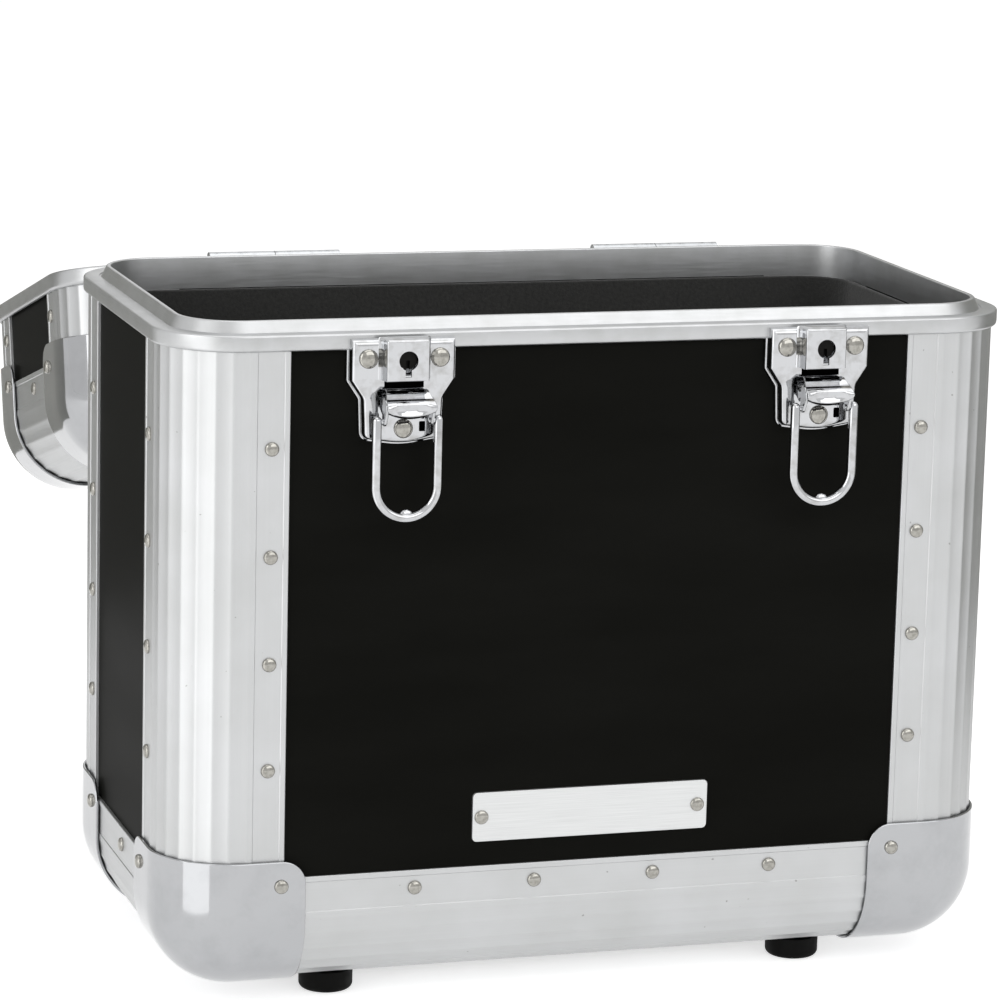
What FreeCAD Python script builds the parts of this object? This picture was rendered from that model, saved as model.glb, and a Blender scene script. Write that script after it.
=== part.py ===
import FreeCAD, Part
import math
import os

# A record carrying case, lid open and resting against its back.
# X runs to the right of the front, Y to the back, Z up. Lengths are millimetres, angles degrees.
# Body and lid are both trays: each is modelled with its closed side down at height 0 and its rim up.

# Case
case_width = 365
case_depth = 192
body_height = 277.5
lid_height = 88
foot_height = 9
closing_gap = 0.2
lid_rest_gap = 0.4

# Wall: sheet panels held in the slots of extruded edge bars
edge_radius = 33
bar_skin = 1.4
panel_thickness = 7
bar_inner_skin = 1.2
bar_leg = 49
bar_upright_leg = 50.5
bar_inner_leg = 12
bar_lip = 2.2
bar_flat_drop = 0.3
flute_count = 7
hollow_sides = 3
flute_depth = 0.45

# Ball corners
ball_reach = 58
ball_round = 10
ball_gap = 0.3
ball_sheet = 1.2

# Rims: a tongue on the body fits a rebate in the lid
rim_band_out = 2.2
body_band_drop = 7
lid_band_drop = 7.5
rim_web = 1.6
lid_rim_web = 1.2
rim_skirt = 8
rim_skirt_gap = 0.1
tongue_height = 4.5
tongue_foot = 5.4
tongue_top = 7.8
tongue_clearance = 0.3
rim_foot_chamfer = 1.2

# Lining and pads
lining_gap = 0.2
lining_thickness = 2.5
body_pad_thickness = 6
lid_pad_thickness = 12
pad_margin = 2

# Feet
foot_radius = 11.5
foot_side_inset = 77
foot_inset = 36

# Name plate, left bare
plate_width = 103.6
plate_height = 21.2
plate_thickness = 1.2
plate_round = 2
plate_x = -1.1
plate_z = 71.5

# Latches: a pressed base, a lock case, a lever and a wire bail
latch_side_inset = 92.5
latch_shift = 2
latch_sheet = 1.2
latch_stand = 6
latch_top_drop = 1
latch_width = 46
latch_waist = 36
latch_foot_width = 34.6
latch_shoulder_drop = 18.5
latch_waist_drop = 26
latch_foot_drop = 43
latch_drop = 45.6
latch_edge_chamfer = 1.2
latch_foot_round = 4
latch_slot_width = 16.6
latch_slot_height = 2.4
latch_window_x = 6.6
latch_window_width = 2.6
latch_window_height = 4.2
latch_window_drop = 35
lock_width = 17.6
lock_height = 16.5
lock_top_drop = 1
lock_stand = 6.5
lock_sheet = 1
lock_chamfer = 0.6
keyhole_radius = 4
keyhole_drop = 8.1
keyway_width = 2.6
keyway_drop = 6.7
cylinder_side_gap = 0.3
cylinder_face_gap = 0.5
cylinder_slot_width = 1.6
cylinder_slot_depth = 2.2
lever_pivot_drop = 26
lever_pivot_out = 13.5
lever_reach = 10
lever_pin_radius = 1.1
lever_running_gap = 0.05
lever_width = 20.8
lever_sheet = 1.2
lever_side_gap = 0.3
lever_arm_round = 1.8
lug_radius = 2
lug_foot_drop = 4
bail_pivot_drop = 33.5
bail_pivot_out = 12.5
bail_wire_radius = 2
bail_side_gap = 0.5
bail_reach = 40
bail_stub_radius = 1.1
bail_stub_past = 0.5
bail_nub_width = 6
bail_nub_rise = 1.6
bail_nub_thickness = 2.4
bail_hooked_out = 14.2

# Catches on the lid, each with a hook for a bail
catch_width = 28
catch_head_width = 18
catch_height = 23
catch_shoulder = 17
catch_lift = 3.1
hook_width = 6
hook_sheet = 1.2
hook_lift = 0.3
hook_tip_gap = 0.3
hook_tip_height = 6.2

# Hinges
hinge_side_inset = 92.5
hinge_width = 60
hinge_sheet = 1.5
hinge_out = 9
hinge_knuckle_radius = 3.5
hinge_pin_radius = 2
hinge_running_gap = 0.05
hinge_side_gap = 0.3
hinge_finger = 16
hinge_stem = 13.5
hinge_slope = 6
hinge_flat = 17

# Handle on the lid
handle_span = 136
handle_bracket_width = 30
handle_bracket_depth = 24
handle_sheet = 1.6
handle_pivot_out = 11.5
handle_lug_radius = 5
handle_lug_width = 8
handle_side_gap = 0.3
handle_journal_radius = 2.5
handle_running_gap = 0.05
handle_rod_radius = 3.5
handle_bend = 10
handle_drop = 34
handle_grip_radius = 11.5
handle_grip_end_gap = 3

rod_sides = 8
round_sides = 5
bend_steps = 3
along_share = 0.5
mid_share = 0.5
overrun = 5
least_edge = 0.000001
quarter_turn = 90
half_turn = 180

case_wall = bar_skin + panel_thickness + bar_inner_skin
inner_panel_face = bar_skin + panel_thickness
half_width = case_width / 2
half_depth = case_depth / 2
body_wall_top = body_height - rim_web
groove_depth = tongue_height + tongue_clearance
lid_wall_top = lid_height - groove_depth - lid_rim_web
latch_top = body_height - latch_top_drop
bail_half_width = lever_width / 2 + bail_side_gap + bail_wire_radius


def vec(x, y, z):
    return FreeCAD.Vector(x, y, z)


def slab(low, high):
    size = high - low
    return Part.makeBox(size.x, size.y, size.z, low)


def rounded_outline(points, radii):
    """A closed wire through the points. Each corner is rounded by its own radius, and 0 leaves it sharp."""
    corners = []
    for index, here in enumerate(points):
        to_last = (points[index - 1] - here).normalize()
        to_next = (points[(index + 1) % len(points)] - here).normalize()
        half_angle = to_last.getAngle(to_next) / 2
        setback = radii[index] / math.tan(half_angle)
        start = here + to_last * setback
        end = here + to_next * setback
        if radii[index]:
            inward = (to_last + to_next).normalize()
            middle = here + inward * (radii[index] / math.sin(half_angle) - radii[index])
            corners.append((start, middle, end))
        else:
            corners.append((here, None, here))
    edges = []
    for index, (start, middle, end) in enumerate(corners):
        last_end = corners[index - 1][2]
        if (start - last_end).Length > least_edge:
            edges.append(Part.makeLine(last_end, start))
        if middle:
            edges.append(Part.Arc(start, middle, end).toShape())
    return Part.Wire(edges)


def prism(points, radii, travel):
    return Part.Face(rounded_outline(points, radii)).extrude(travel)


def cylinder(radius, start, travel):
    return Part.makeCylinder(radius, travel.Length, start, travel)


def rod_face(radius, centre, along, across):
    """An eight-sided section of a rod, as wide as the rod over its flats."""
    corner_radius = radius / math.cos(math.radians(half_turn) / rod_sides)
    side = along.cross(across)
    corners = []
    for index in range(rod_sides):
        turn = math.radians(2 * half_turn) * (index + 0.5) / rod_sides
        corners.append(centre + (across * math.cos(turn) + side * math.sin(turn)) * corner_radius)
    return Part.Face(Part.makePolygon(corners + corners[:1]))


def bent_rod(points, radius, along, across):
    """A rod of eight flat sides along straight runs through the points, mitred at each."""
    section = rod_face(radius, points[0], along, across).OuterWire
    return Part.Wire(Part.makePolygon(points).Edges).makePipeShell([section], True, False, 1)


def bend_points(centre, radius, start, steps):
    """Corners of a mitred bend in the XZ plane that keeps outside the round: a quarter turn for each count of steps."""
    half_step = math.radians(quarter_turn) / (2 * bend_steps)
    corner = radius / math.cos(half_step)
    turns = [math.radians(start) + half_step * (2 * step + 1) for step in range(steps)]
    return [centre + vec(corner * math.cos(turn), 0, corner * math.sin(turn)) for turn in turns]


def all_fused(shapes):
    return shapes[0].multiFuse(shapes[1:]).removeSplitter()


def mirrored(shape, across_x, across_y):
    result = shape
    if across_x:
        result = result.mirror(vec(0, 0, 0), vec(1, 0, 0))
    if across_y:
        result = result.mirror(vec(0, 0, 0), vec(0, 1, 0))
    return result


def corner_signs():
    return {
        "front_left": (False, False),
        "front_right": (True, False),
        "rear_left": (False, True),
        "rear_right": (True, True),
    }


# Edge bars


def bar_face_line(leg):
    """The outer line of one leg as (along, depth) pairs, from its free end to the curved edge."""
    slope_end = bar_lip + bar_flat_drop
    return [
        (leg, 0),
        (leg - bar_lip, 0),
        (leg - slope_end, bar_flat_drop),
        (edge_radius + slope_end, bar_flat_drop),
        (edge_radius + bar_lip, 0),
        (edge_radius, 0),
    ]


def flute_point(share, radius):
    """A point over the curved edge: share 0 is where the X leg begins and share 1 where the Y leg does."""
    turn = math.radians(quarter_turn) * share
    return vec(edge_radius - radius * math.sin(turn), edge_radius - radius * math.cos(turn), 0)


def bar_section(leg_x, leg_y):
    """Two legs on a fluted quarter round, hollow inside the round, each leg with a slot for a panel."""
    edges = []
    line_x = [vec(along, depth, 0) for along, depth in bar_face_line(leg_x)]
    line_y = [vec(depth, along, 0) for along, depth in reversed(bar_face_line(leg_y))]
    inner = [vec(case_wall, leg_y, 0), vec(case_wall, edge_radius, 0)]
    inner_end = [vec(edge_radius, case_wall, 0), vec(leg_x, case_wall, 0), line_x[0]]
    flutes = [flute_point(0, edge_radius)]
    for index in range(flute_count):
        flutes.append(flute_point((index + mid_share) / flute_count, edge_radius - flute_depth))
        flutes.append(flute_point((index + 1) / flute_count, edge_radius))
    edges.append(Part.Arc(inner[-1], flute_point(mid_share, edge_radius - case_wall), inner_end[0]).toShape())
    for points in (line_x, flutes, line_y + inner, inner_end):
        for start, end in zip(points, points[1:]):
            edges.append(Part.makeLine(start, end))
    return Part.Face(Part.Wire(Part.__sortEdges__(edges)))


def bar_hollow(length):
    """The hollow inside the curved edge of a bar: flat-sided, with a web left beside each slot."""
    outer = edge_radius - bar_skin
    inner = edge_radius - case_wall + bar_inner_skin
    web_share = bar_inner_skin / (inner * math.radians(quarter_turn))
    shares = [web_share + (1 - 2 * web_share) * step / hollow_sides for step in range(hollow_sides + 1)]
    inner_corner = inner / math.cos(math.radians(quarter_turn) / (2 * hollow_sides))
    points = [flute_point(share, outer) for share in shares]
    points += [flute_point(share, inner_corner) for share in reversed(shares)]
    return Part.Face(Part.makePolygon(points + points[:1])).extrude(vec(0, 0, length))


def edge_bar(leg_x, leg_y, length):
    """An edge bar standing along Z with its outer corner line at the origin."""
    bar = bar_section(leg_x, leg_y).extrude(vec(0, 0, length))
    cuts = [bar_hollow(length)]
    top = length + overrun
    for low_x, low_y, high_x, high_y in (
        (edge_radius, bar_skin, leg_x + overrun, inner_panel_face),
        (bar_skin, edge_radius, inner_panel_face, leg_y + overrun),
        (edge_radius + bar_inner_leg, bar_skin, leg_x + overrun, case_wall + overrun),
        (bar_skin, edge_radius + bar_inner_leg, case_wall + overrun, leg_y + overrun),
    ):
        cuts.append(slab(vec(low_x, low_y, -overrun), vec(high_x, high_y, top)))
    return bar.cut(cuts)


def upright_bar(wall_top, base_leg):
    """The front left upright bar of a tray: its legs stop above the base bars, its inner skin below the rim."""
    bar = edge_bar(bar_leg, bar_leg, wall_top - edge_radius)
    bar.translate(vec(0, 0, edge_radius))
    reach = bar_leg + overrun
    room_face = inner_panel_face - rim_skirt_gap
    leg_cuts = [
        slab(vec(edge_radius, -overrun, 0), vec(reach, case_wall + overrun, base_leg)),
        slab(vec(-overrun, edge_radius, 0), vec(case_wall + overrun, reach, base_leg)),
    ]
    skirt_room = round_room(edge_radius - room_face)
    skirt_room.translate(vec(0, 0, wall_top - rim_skirt - rim_skirt_gap))
    bar = bar.cut(leg_cuts + [skirt_room])
    bar.translate(vec(-half_width, -half_depth, 0))
    return bar


def swapped_axes(shape, times):
    """Turns the shape so that X becomes Y, Y becomes Z and Z becomes X, this many times."""
    turned = shape.copy()
    turned.rotate(vec(0, 0, 0), vec(1, 1, 1), times * 2 * half_turn / 3)
    return turned


def front_base_bar(base_leg):
    length = case_width - 2 * edge_radius
    bar = swapped_axes(edge_bar(bar_leg, base_leg, length), 1)
    bar.translate(vec(edge_radius - half_width, -half_depth, 0))
    return bar


def left_base_bar(base_leg):
    """The left base bar. Its leg under the base panel is cut short for the legs of the front and rear bars."""
    length = case_depth - 2 * edge_radius
    bar = swapped_axes(edge_bar(base_leg, bar_leg, length), 2)
    bar.translate(vec(-half_width, edge_radius - half_depth, 0))
    reach = case_wall + overrun
    ends = []
    for side in (-1, 1):
        near = side * (half_depth - bar_leg)
        far = side * half_depth
        ends.append(slab(
            vec(edge_radius - half_width, min(near, far), -overrun),
            vec(bar_leg + overrun - half_width, max(near, far), reach),
        ))
    return bar.cut(ends)


# Ball corners


def corner_block(outset, reach):
    """A block at a case corner, cut flat on all sides of the case's round, moved out by the outset."""
    block = slab(vec(-outset, -outset, -outset), vec(reach, reach, reach))
    middle = vec(edge_radius, edge_radius, edge_radius)
    step = quarter_turn / round_sides
    for tilt in range(1, round_sides + 1):
        for turn in range(round_sides + 1):
            to_side = FreeCAD.Rotation(vec(0, 0, 1), turn * step)
            from_below = FreeCAD.Rotation(vec(0, 1, 0), tilt * step)
            outward = to_side.multVec(from_below.multVec(vec(0, 0, -1)))
            waste = slab(vec(-reach, -reach, 0), vec(reach, reach, reach))
            waste.Placement = FreeCAD.Placement(
                middle + outward * (edge_radius + outset),
                FreeCAD.Rotation(vec(0, 0, 1), outward),
            ).multiply(waste.Placement)
            block = block.cut(waste)
    return block.removeSplitter()


def corner_points(radius):
    """Corners of a flat-sided round along Z at a case corner, nowhere within the round, from the X leg on."""
    half_angle = math.radians(quarter_turn) / (2 * round_sides)
    corner = radius / math.cos(half_angle)
    return [flute_point((side + mid_share) / round_sides, corner) for side in range(round_sides)]


def round_room(radius):
    """The room inside the flat-sided round of this radius."""
    reach = ball_reach + overrun
    near = edge_radius - radius
    outline = [vec(reach, reach, 0), vec(reach, near, 0)] + corner_points(radius) + [vec(near, reach, 0)]
    return Part.Face(Part.makePolygon(outline + outline[:1])).extrude(vec(0, 0, reach))


def ball_corner():
    """A three-lobed cap over one lower corner: lobes of even thickness with rounded tips, and a thicker ball."""
    shell = corner_block(ball_gap + ball_sheet, ball_reach)
    far = vec(ball_reach, ball_reach, ball_reach)
    tips = [edge for edge in shell.Edges if any((v.Point - far).Length < least_edge for v in edge.Vertexes)]
    shell = shell.makeFillet(ball_round, tips)
    lobe_room = round_room(edge_radius + ball_gap)
    lobe_room.translate(vec(0, 0, edge_radius))
    core_room = round_room(edge_radius - case_wall)
    core = core_room.common(swapped_axes(core_room, 1)).common(swapped_axes(core_room, 2))
    shell = shell.cut([swapped_axes(lobe_room, turns) for turns in range(3)] + [core])
    shell.translate(vec(-half_width, -half_depth, 0))
    return shell


def ball_corner_set():
    """The four caps of a tray's closed side."""
    cap = ball_corner()
    return Part.makeCompound([mirrored(cap, *signs) for signs in corner_signs().values()])


# Panels


def tray_panels(wall_top):
    side_x = half_width - edge_radius
    side_y = half_depth - edge_radius
    front = slab(
        vec(-side_x, bar_skin - half_depth, edge_radius),
        vec(side_x, inner_panel_face - half_depth, wall_top),
    )
    left = slab(
        vec(bar_skin - half_width, -side_y, edge_radius),
        vec(inner_panel_face - half_width, side_y, wall_top),
    )
    base = slab(vec(-side_x, -side_y, bar_skin), vec(side_x, side_y, inner_panel_face))
    return {
        "front": front,
        "rear": mirrored(front, False, True),
        "left": left,
        "right": mirrored(left, True, False),
        "base": base,
    }


# Rims


def framed(points, height):
    """Sweeps a section of (outward, up) points round the case, a quarter at a time, at this height."""
    placed = [vec(0, -half_depth - outward, height + up) for outward, up in points]
    corner = vec(-half_width, -half_depth, height)
    path = [vec(0, -half_depth, height)] + [corner + point for point in corner_points(edge_radius)]
    path.append(vec(-half_width, 0, height))
    section = Part.makePolygon(placed + placed[:1])
    quarter = Part.Wire(Part.makePolygon(path).Edges).makePipeShell([section], True, False, 1)
    return all_fused([mirrored(quarter, *signs) for signs in corner_signs().values()])


def body_rim():
    """The body's closing frame: a band outside, a tapered tongue on top and a skirt inside the panels."""
    skirt_end = -rim_web - rim_skirt
    points = [
        (0, -body_band_drop),
        (rim_band_out - rim_foot_chamfer, -body_band_drop),
        (rim_band_out, rim_foot_chamfer - body_band_drop),
        (rim_band_out, 0),
        (-tongue_foot, 0),
        (-tongue_top, tongue_height),
        (-case_wall, tongue_height),
        (-case_wall, skirt_end),
        (-inner_panel_face, skirt_end),
        (-inner_panel_face, -rim_web),
        (0, -rim_web),
    ]
    return framed(points, body_height)


def lid_rim():
    """The lid's closing frame: a band, a landing that meets the body's ledge, and a rebate for the tongue."""
    landing = tongue_foot - tongue_clearance
    skirt_end = -groove_depth - lid_rim_web - rim_skirt
    points = [
        (0, -lid_band_drop),
        (rim_band_out - rim_foot_chamfer, -lid_band_drop),
        (rim_band_out, rim_foot_chamfer - lid_band_drop),
        (rim_band_out, 0),
        (-landing, 0),
        (-landing, -groove_depth),
        (-case_wall, -groove_depth),
        (-case_wall, skirt_end),
        (-inner_panel_face, skirt_end),
        (-inner_panel_face, -groove_depth - lid_rim_web),
        (0, -groove_depth - lid_rim_web),
    ]
    return framed(points, lid_height)


# Lining and pads


def tub(inset, top):
    """A solid with the inside shape of a tray, this far in from its outer faces: three rounded blocks in common."""
    low = vec(inset - half_width, inset - half_depth, inset)
    high = vec(half_width - inset, half_depth - inset, top)
    result = slab(low, high)
    for axis in (vec(1, 0, 0), vec(0, 1, 0), vec(0, 0, 1)):
        block = slab(low, high)
        edges = [
            edge for edge in block.Edges
            if abs(edge.tangentAt(edge.FirstParameter).dot(axis)) > along_share
            and (axis.z or edge.CenterOfMass.z < inset + least_edge)
        ]
        result = result.common(block.makeFillet(edge_radius - inset, edges))
    return result


def lining(wall_top):
    """A felt-covered skin inside the tray, from the base to just below the rim's skirt."""
    inset = case_wall + lining_gap
    top = wall_top - rim_skirt - lining_gap
    return tub(inset, top).cut(tub(inset + lining_thickness, top + overrun))


def base_pad(thickness):
    """A flat foam sheet on the flat of the lining."""
    floor = case_wall + lining_gap + lining_thickness
    half_x = half_width - edge_radius - pad_margin
    half_y = half_depth - edge_radius - pad_margin
    return slab(vec(-half_x, -half_y, floor), vec(half_x, half_y, floor + thickness))


# Feet


def feet_places():
    side_x = half_width - foot_side_inset
    side_y = half_depth - foot_inset
    return [vec(x, y, 0) for x in (-side_x, side_x) for y in (-side_y, side_y)]


def foot():
    """A round rubber foot, its top face at height 0."""
    return cylinder(foot_radius, vec(0, 0, -foot_height), vec(0, 0, foot_height))


# Name plate


def name_plate():
    """A flat bare plate on the front panel."""
    half_x = plate_width / 2
    half_z = plate_height / 2
    corners = ((-half_x, -half_z), (half_x, -half_z), (half_x, half_z), (-half_x, half_z))
    points = [vec(plate_x + x, bar_skin - half_depth, plate_z + z) for x, z in corners]
    return prism(points, [plate_round] * 4, vec(0, -plate_thickness, 0))


# Latches. A local frame: x from the latch's middle, y from the case's front face, z from the case's underside.


def pressed_pan(points, radii):
    """A pan pressed from sheet: an outline of (x, z) points raised from the panel, hollow behind."""
    placed = [vec(x, bar_skin, z) for x, z in points]
    height = latch_stand + bar_skin
    outer = prism(placed, radii, vec(0, -height, 0))
    front = [edge for edge in outer.Edges if edge.BoundBox.YMax < least_edge - latch_stand]
    outer = outer.makeChamfer(latch_edge_chamfer, front)
    outline = Part.Face(rounded_outline(placed, radii))
    hollow = outline.makeOffset2D(-latch_sheet, join=2).extrude(vec(0, -(height - latch_sheet), 0))
    return outer.cut(hollow)


def latch_outline():
    points = [
        (-latch_width / 2, latch_top),
        (latch_width / 2, latch_top),
        (latch_width / 2, latch_top - latch_shoulder_drop),
        (latch_waist / 2, latch_top - latch_waist_drop),
        (latch_foot_width / 2, latch_top - latch_foot_drop),
        (0, latch_top - latch_drop),
        (-latch_foot_width / 2, latch_top - latch_foot_drop),
        (-latch_waist / 2, latch_top - latch_waist_drop),
        (-latch_width / 2, latch_top - latch_shoulder_drop),
    ]
    return points, [0, 0, 0, 0, latch_foot_round, 0, latch_foot_round, 0, 0]


def pivot_lugs():
    """Two ears that rise aslant from the base, bored for the lever's pin, just inside the lever's arms."""
    outer = lever_width / 2 - lever_sheet - lever_side_gap
    level = latch_top - lever_pivot_drop
    tip = -lever_pivot_out - lug_radius
    bore_radius = lever_pin_radius + lever_running_gap
    lugs = []
    for side in (-1, 1):
        x = min(side * outer, side * (outer - latch_sheet))
        points = [
            vec(x, -latch_stand, level - lug_foot_drop - lug_radius),
            vec(x, -lever_pivot_out, level - lug_radius),
            vec(x, tip, level - lug_radius / 2),
            vec(x, tip, level + lug_radius / 2),
            vec(x, -lever_pivot_out, level + lug_radius),
            vec(x, lug_radius - lever_pivot_out, level),
            vec(x, -latch_stand, level + lug_radius - lug_foot_drop),
        ]
        bore = cylinder(bore_radius, vec(x - overrun, -lever_pivot_out, level), vec(2 * overrun, 0, 0))
        lugs.append(prism(points, [0] * len(points), vec(latch_sheet, 0, 0)).cut(bore))
    return lugs


def latch_base():
    """The pressed base, cut back behind to clear the rim's band, with its slot and window."""
    pan = pressed_pan(*latch_outline())
    band_foot = body_height - body_band_drop
    band_room = slab(
        vec(-latch_width, -rim_band_out, band_foot),
        vec(latch_width, bar_skin + overrun, body_height + overrun),
    )
    slot_top = latch_top - lock_top_drop - lock_height
    slot = slab(
        vec(-latch_slot_width / 2, -latch_stand - overrun, slot_top - latch_slot_height),
        vec(latch_slot_width / 2, -latch_stand + latch_sheet + overrun, slot_top),
    )
    window_top = latch_top - latch_window_drop
    window = slab(
        vec(latch_window_x, -latch_stand - overrun, window_top - latch_window_height),
        vec(latch_window_x + latch_window_width, -latch_stand + latch_sheet + overrun, window_top),
    )
    return pan.cut([band_room, slot, window])


def lock_case():
    """A raised box on the base, open behind and below, with a keyhole in its face."""
    top = latch_top - lock_top_drop
    foot = top - lock_height
    half_x = lock_width / 2
    front = -latch_stand - lock_stand
    box = slab(vec(-half_x, front, foot), vec(half_x, -latch_stand, top))
    rims = [edge for edge in box.Edges if edge.BoundBox.YMax < front + least_edge]
    box = box.makeChamfer(lock_chamfer, rims)
    hollow = slab(
        vec(lock_sheet - half_x, front + lock_sheet, foot - overrun),
        vec(half_x - lock_sheet, -latch_stand + overrun, top - lock_sheet),
    )
    eye = vec(0, front - overrun, latch_top - keyhole_drop - lock_top_drop)
    depth = vec(0, overrun + lock_stand / 2, 0)
    hole = cylinder(keyhole_radius, eye, depth)
    half_way = keyway_width / 2
    way = slab(eye + vec(-half_way, 0, -keyway_drop), eye + vec(half_way, depth.y, 0))
    return box.cut([hollow, hole, way])


def key_cylinder():
    """The lock's barrel behind the keyhole, slotted across its face for the key."""
    level = latch_top - keyhole_drop - lock_top_drop
    length = lock_stand - lock_sheet - cylinder_face_gap
    cylinder_radius = keyhole_radius - cylinder_side_gap
    barrel = cylinder(cylinder_radius, vec(0, -latch_stand, level), vec(0, -length, 0))
    half_slot = cylinder_slot_width / 2
    slot = slab(
        vec(-half_slot, -latch_stand - length - overrun, level - cylinder_radius),
        vec(half_slot, cylinder_slot_depth - latch_stand - length, level),
    )
    return barrel.cut(slot)


def lever_pin():
    """The lever's pin, held between its arms."""
    half_length = lever_width / 2 - lever_sheet
    start = vec(-half_length, -lever_pivot_out, latch_top - lever_pivot_drop)
    return cylinder(lever_pin_radius, start, vec(2 * half_length, 0, 0))


def lever_lip():
    """The lever's curled web: a short face over the pin that rolls outward to a finger lip."""
    out_shares = {"top": (0.17, 0.34), "brow": (0.38, 0.1), "roll": (0.69, -0.33), "tip": (0.5, -0.8)}
    in_shares = {"top": (0.1, 0.28), "brow": (0.3, 0.02), "roll": (0.59, -0.34), "tip": (0.42, -0.72)}

    def place(share):
        level = latch_top - lever_pivot_drop
        return vec(-lever_width / 2, -lever_pivot_out - share[0] * lever_reach, level + share[1] * lever_reach)

    outer = [place(out_shares[key]) for key in ("top", "brow", "roll", "tip")]
    inner = [place(in_shares[key]) for key in ("tip", "roll", "brow", "top")]
    edges = [
        Part.makeLine(outer[0], outer[1]),
        Part.Arc(outer[1], outer[2], outer[3]).toShape(),
        Part.makeLine(outer[3], inner[0]),
        Part.Arc(inner[0], inner[1], inner[2]).toShape(),
        Part.makeLine(inner[2], inner[3]),
        Part.makeLine(inner[3], outer[0]),
    ]
    return Part.Face(Part.Wire(edges)).extrude(vec(lever_width, 0, 0))


def lever_arm(start_x):
    """A flat arm beside the web, from above the lever's pin down to round the bail's stub, bored for the stub."""
    pivot = vec(start_x, -lever_pivot_out, latch_top - lever_pivot_drop)
    stub = vec(start_x, -bail_pivot_out, latch_top - bail_pivot_drop)
    top_shares = ((-0.2, 0.1), (-0.06, 0.24), (0.17, 0.34), (0.38, 0.1), (0.42, -0.25))
    points = [pivot + vec(0, -out * lever_reach, up * lever_reach) for out, up in top_shares]
    for out, up in ((1, -0.5), (0.5, -1), (-0.5, -1), (-1, -0.5)):
        points.append(stub + vec(0, -out * lever_arm_round, up * lever_arm_round))
    plate = prism(points, [0] * len(points), vec(lever_sheet, 0, 0))
    bore_radius = bail_stub_radius + lever_running_gap
    return plate.cut(cylinder(bore_radius, stub - vec(overrun, 0, 0), vec(2 * overrun, 0, 0)))


def latch_lever():
    arms = [lever_arm(-lever_width / 2), lever_arm(lever_width / 2 - lever_sheet)]
    span = lever_width / 2 - lever_sheet
    room = slab(
        vec(-span, -bail_pivot_out - bail_stub_radius - lever_arm_round, latch_top - bail_pivot_drop - overrun),
        vec(span, 0, latch_top - bail_pivot_drop + lever_arm_round),
    )
    return all_fused([lever_lip().cut(room)] + arms)


def bail_solid():
    """A wire loop hanging from the lever: inward stubs, straight legs, a half round and its nub."""
    half_x = bail_half_width
    stub_end = lever_width / 2 - lever_sheet - bail_stub_past
    level = latch_top - bail_pivot_drop
    leg = bail_reach - half_x
    bend_centre = vec(0, -bail_pivot_out, level - leg)
    above = vec(0, 0, leg + bail_wire_radius)
    path = [bend_centre - vec(half_x, 0, 0) + above]
    path += bend_points(bend_centre, half_x, half_turn, 2 * bend_steps)
    path.append(bend_centre + vec(half_x, 0, 0) + above)
    nub_top = bend_centre.z - half_x + bail_wire_radius + bail_nub_rise
    half_nub = bail_nub_width / 2
    nub = slab(
        vec(-half_nub, -bail_pivot_out - bail_nub_thickness / 2, bend_centre.z - half_x),
        vec(half_nub, bail_nub_thickness / 2 - bail_pivot_out, nub_top),
    )
    shapes = [bent_rod(path, bail_wire_radius, vec(0, 0, -1), vec(1, 0, 0)), nub]
    for side in (-1, 1):
        top = vec(side * half_x, -bail_pivot_out, level)
        shapes.append(cylinder(bail_stub_radius, top, vec(side * (stub_end - half_x), 0, 0)))
    return all_fused(shapes)


# Catches, in the same local frame with the lid closed


def catch_plate():
    """A pressed plate on the lid's front with a narrow hook below that holds a bail's nub."""
    foot = body_height + catch_lift
    points = [
        (-catch_width / 2, foot),
        (catch_width / 2, foot),
        (catch_width / 2, foot + catch_shoulder),
        (catch_head_width / 2, foot + catch_height),
        (-catch_head_width / 2, foot + catch_height),
        (-catch_width / 2, foot + catch_shoulder),
    ]
    pan = pressed_pan(points, [0] * len(points))
    band_room = slab(
        vec(-catch_width, -rim_band_out, body_height),
        vec(catch_width, bar_skin + overrun, body_height + closing_gap + lid_band_drop),
    )
    return all_fused([pan.cut(band_room), catch_hook()])


def catch_hook():
    foot = body_height + hook_lift
    back = latch_sheet - latch_stand
    tip = -bail_hooked_out - bail_wire_radius - hook_tip_gap - hook_sheet
    neck = body_height + catch_lift + latch_edge_chamfer + latch_sheet
    half_x = -hook_width / 2
    points = [
        vec(half_x, back, foot),
        vec(half_x, tip, foot),
        vec(half_x, tip, foot + hook_tip_height),
        vec(half_x, tip + hook_sheet, foot + hook_tip_height),
        vec(half_x, tip + hook_sheet, foot + hook_sheet),
        vec(half_x, -latch_stand, foot + hook_sheet),
        vec(half_x, -latch_stand, neck),
        vec(half_x, back, neck),
    ]
    return prism(points, [0] * len(points), vec(hook_width, 0, 0))


# Hinges. A local frame: x from the hinge's middle, y from the case's back face, z up from the pin's level.


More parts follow.
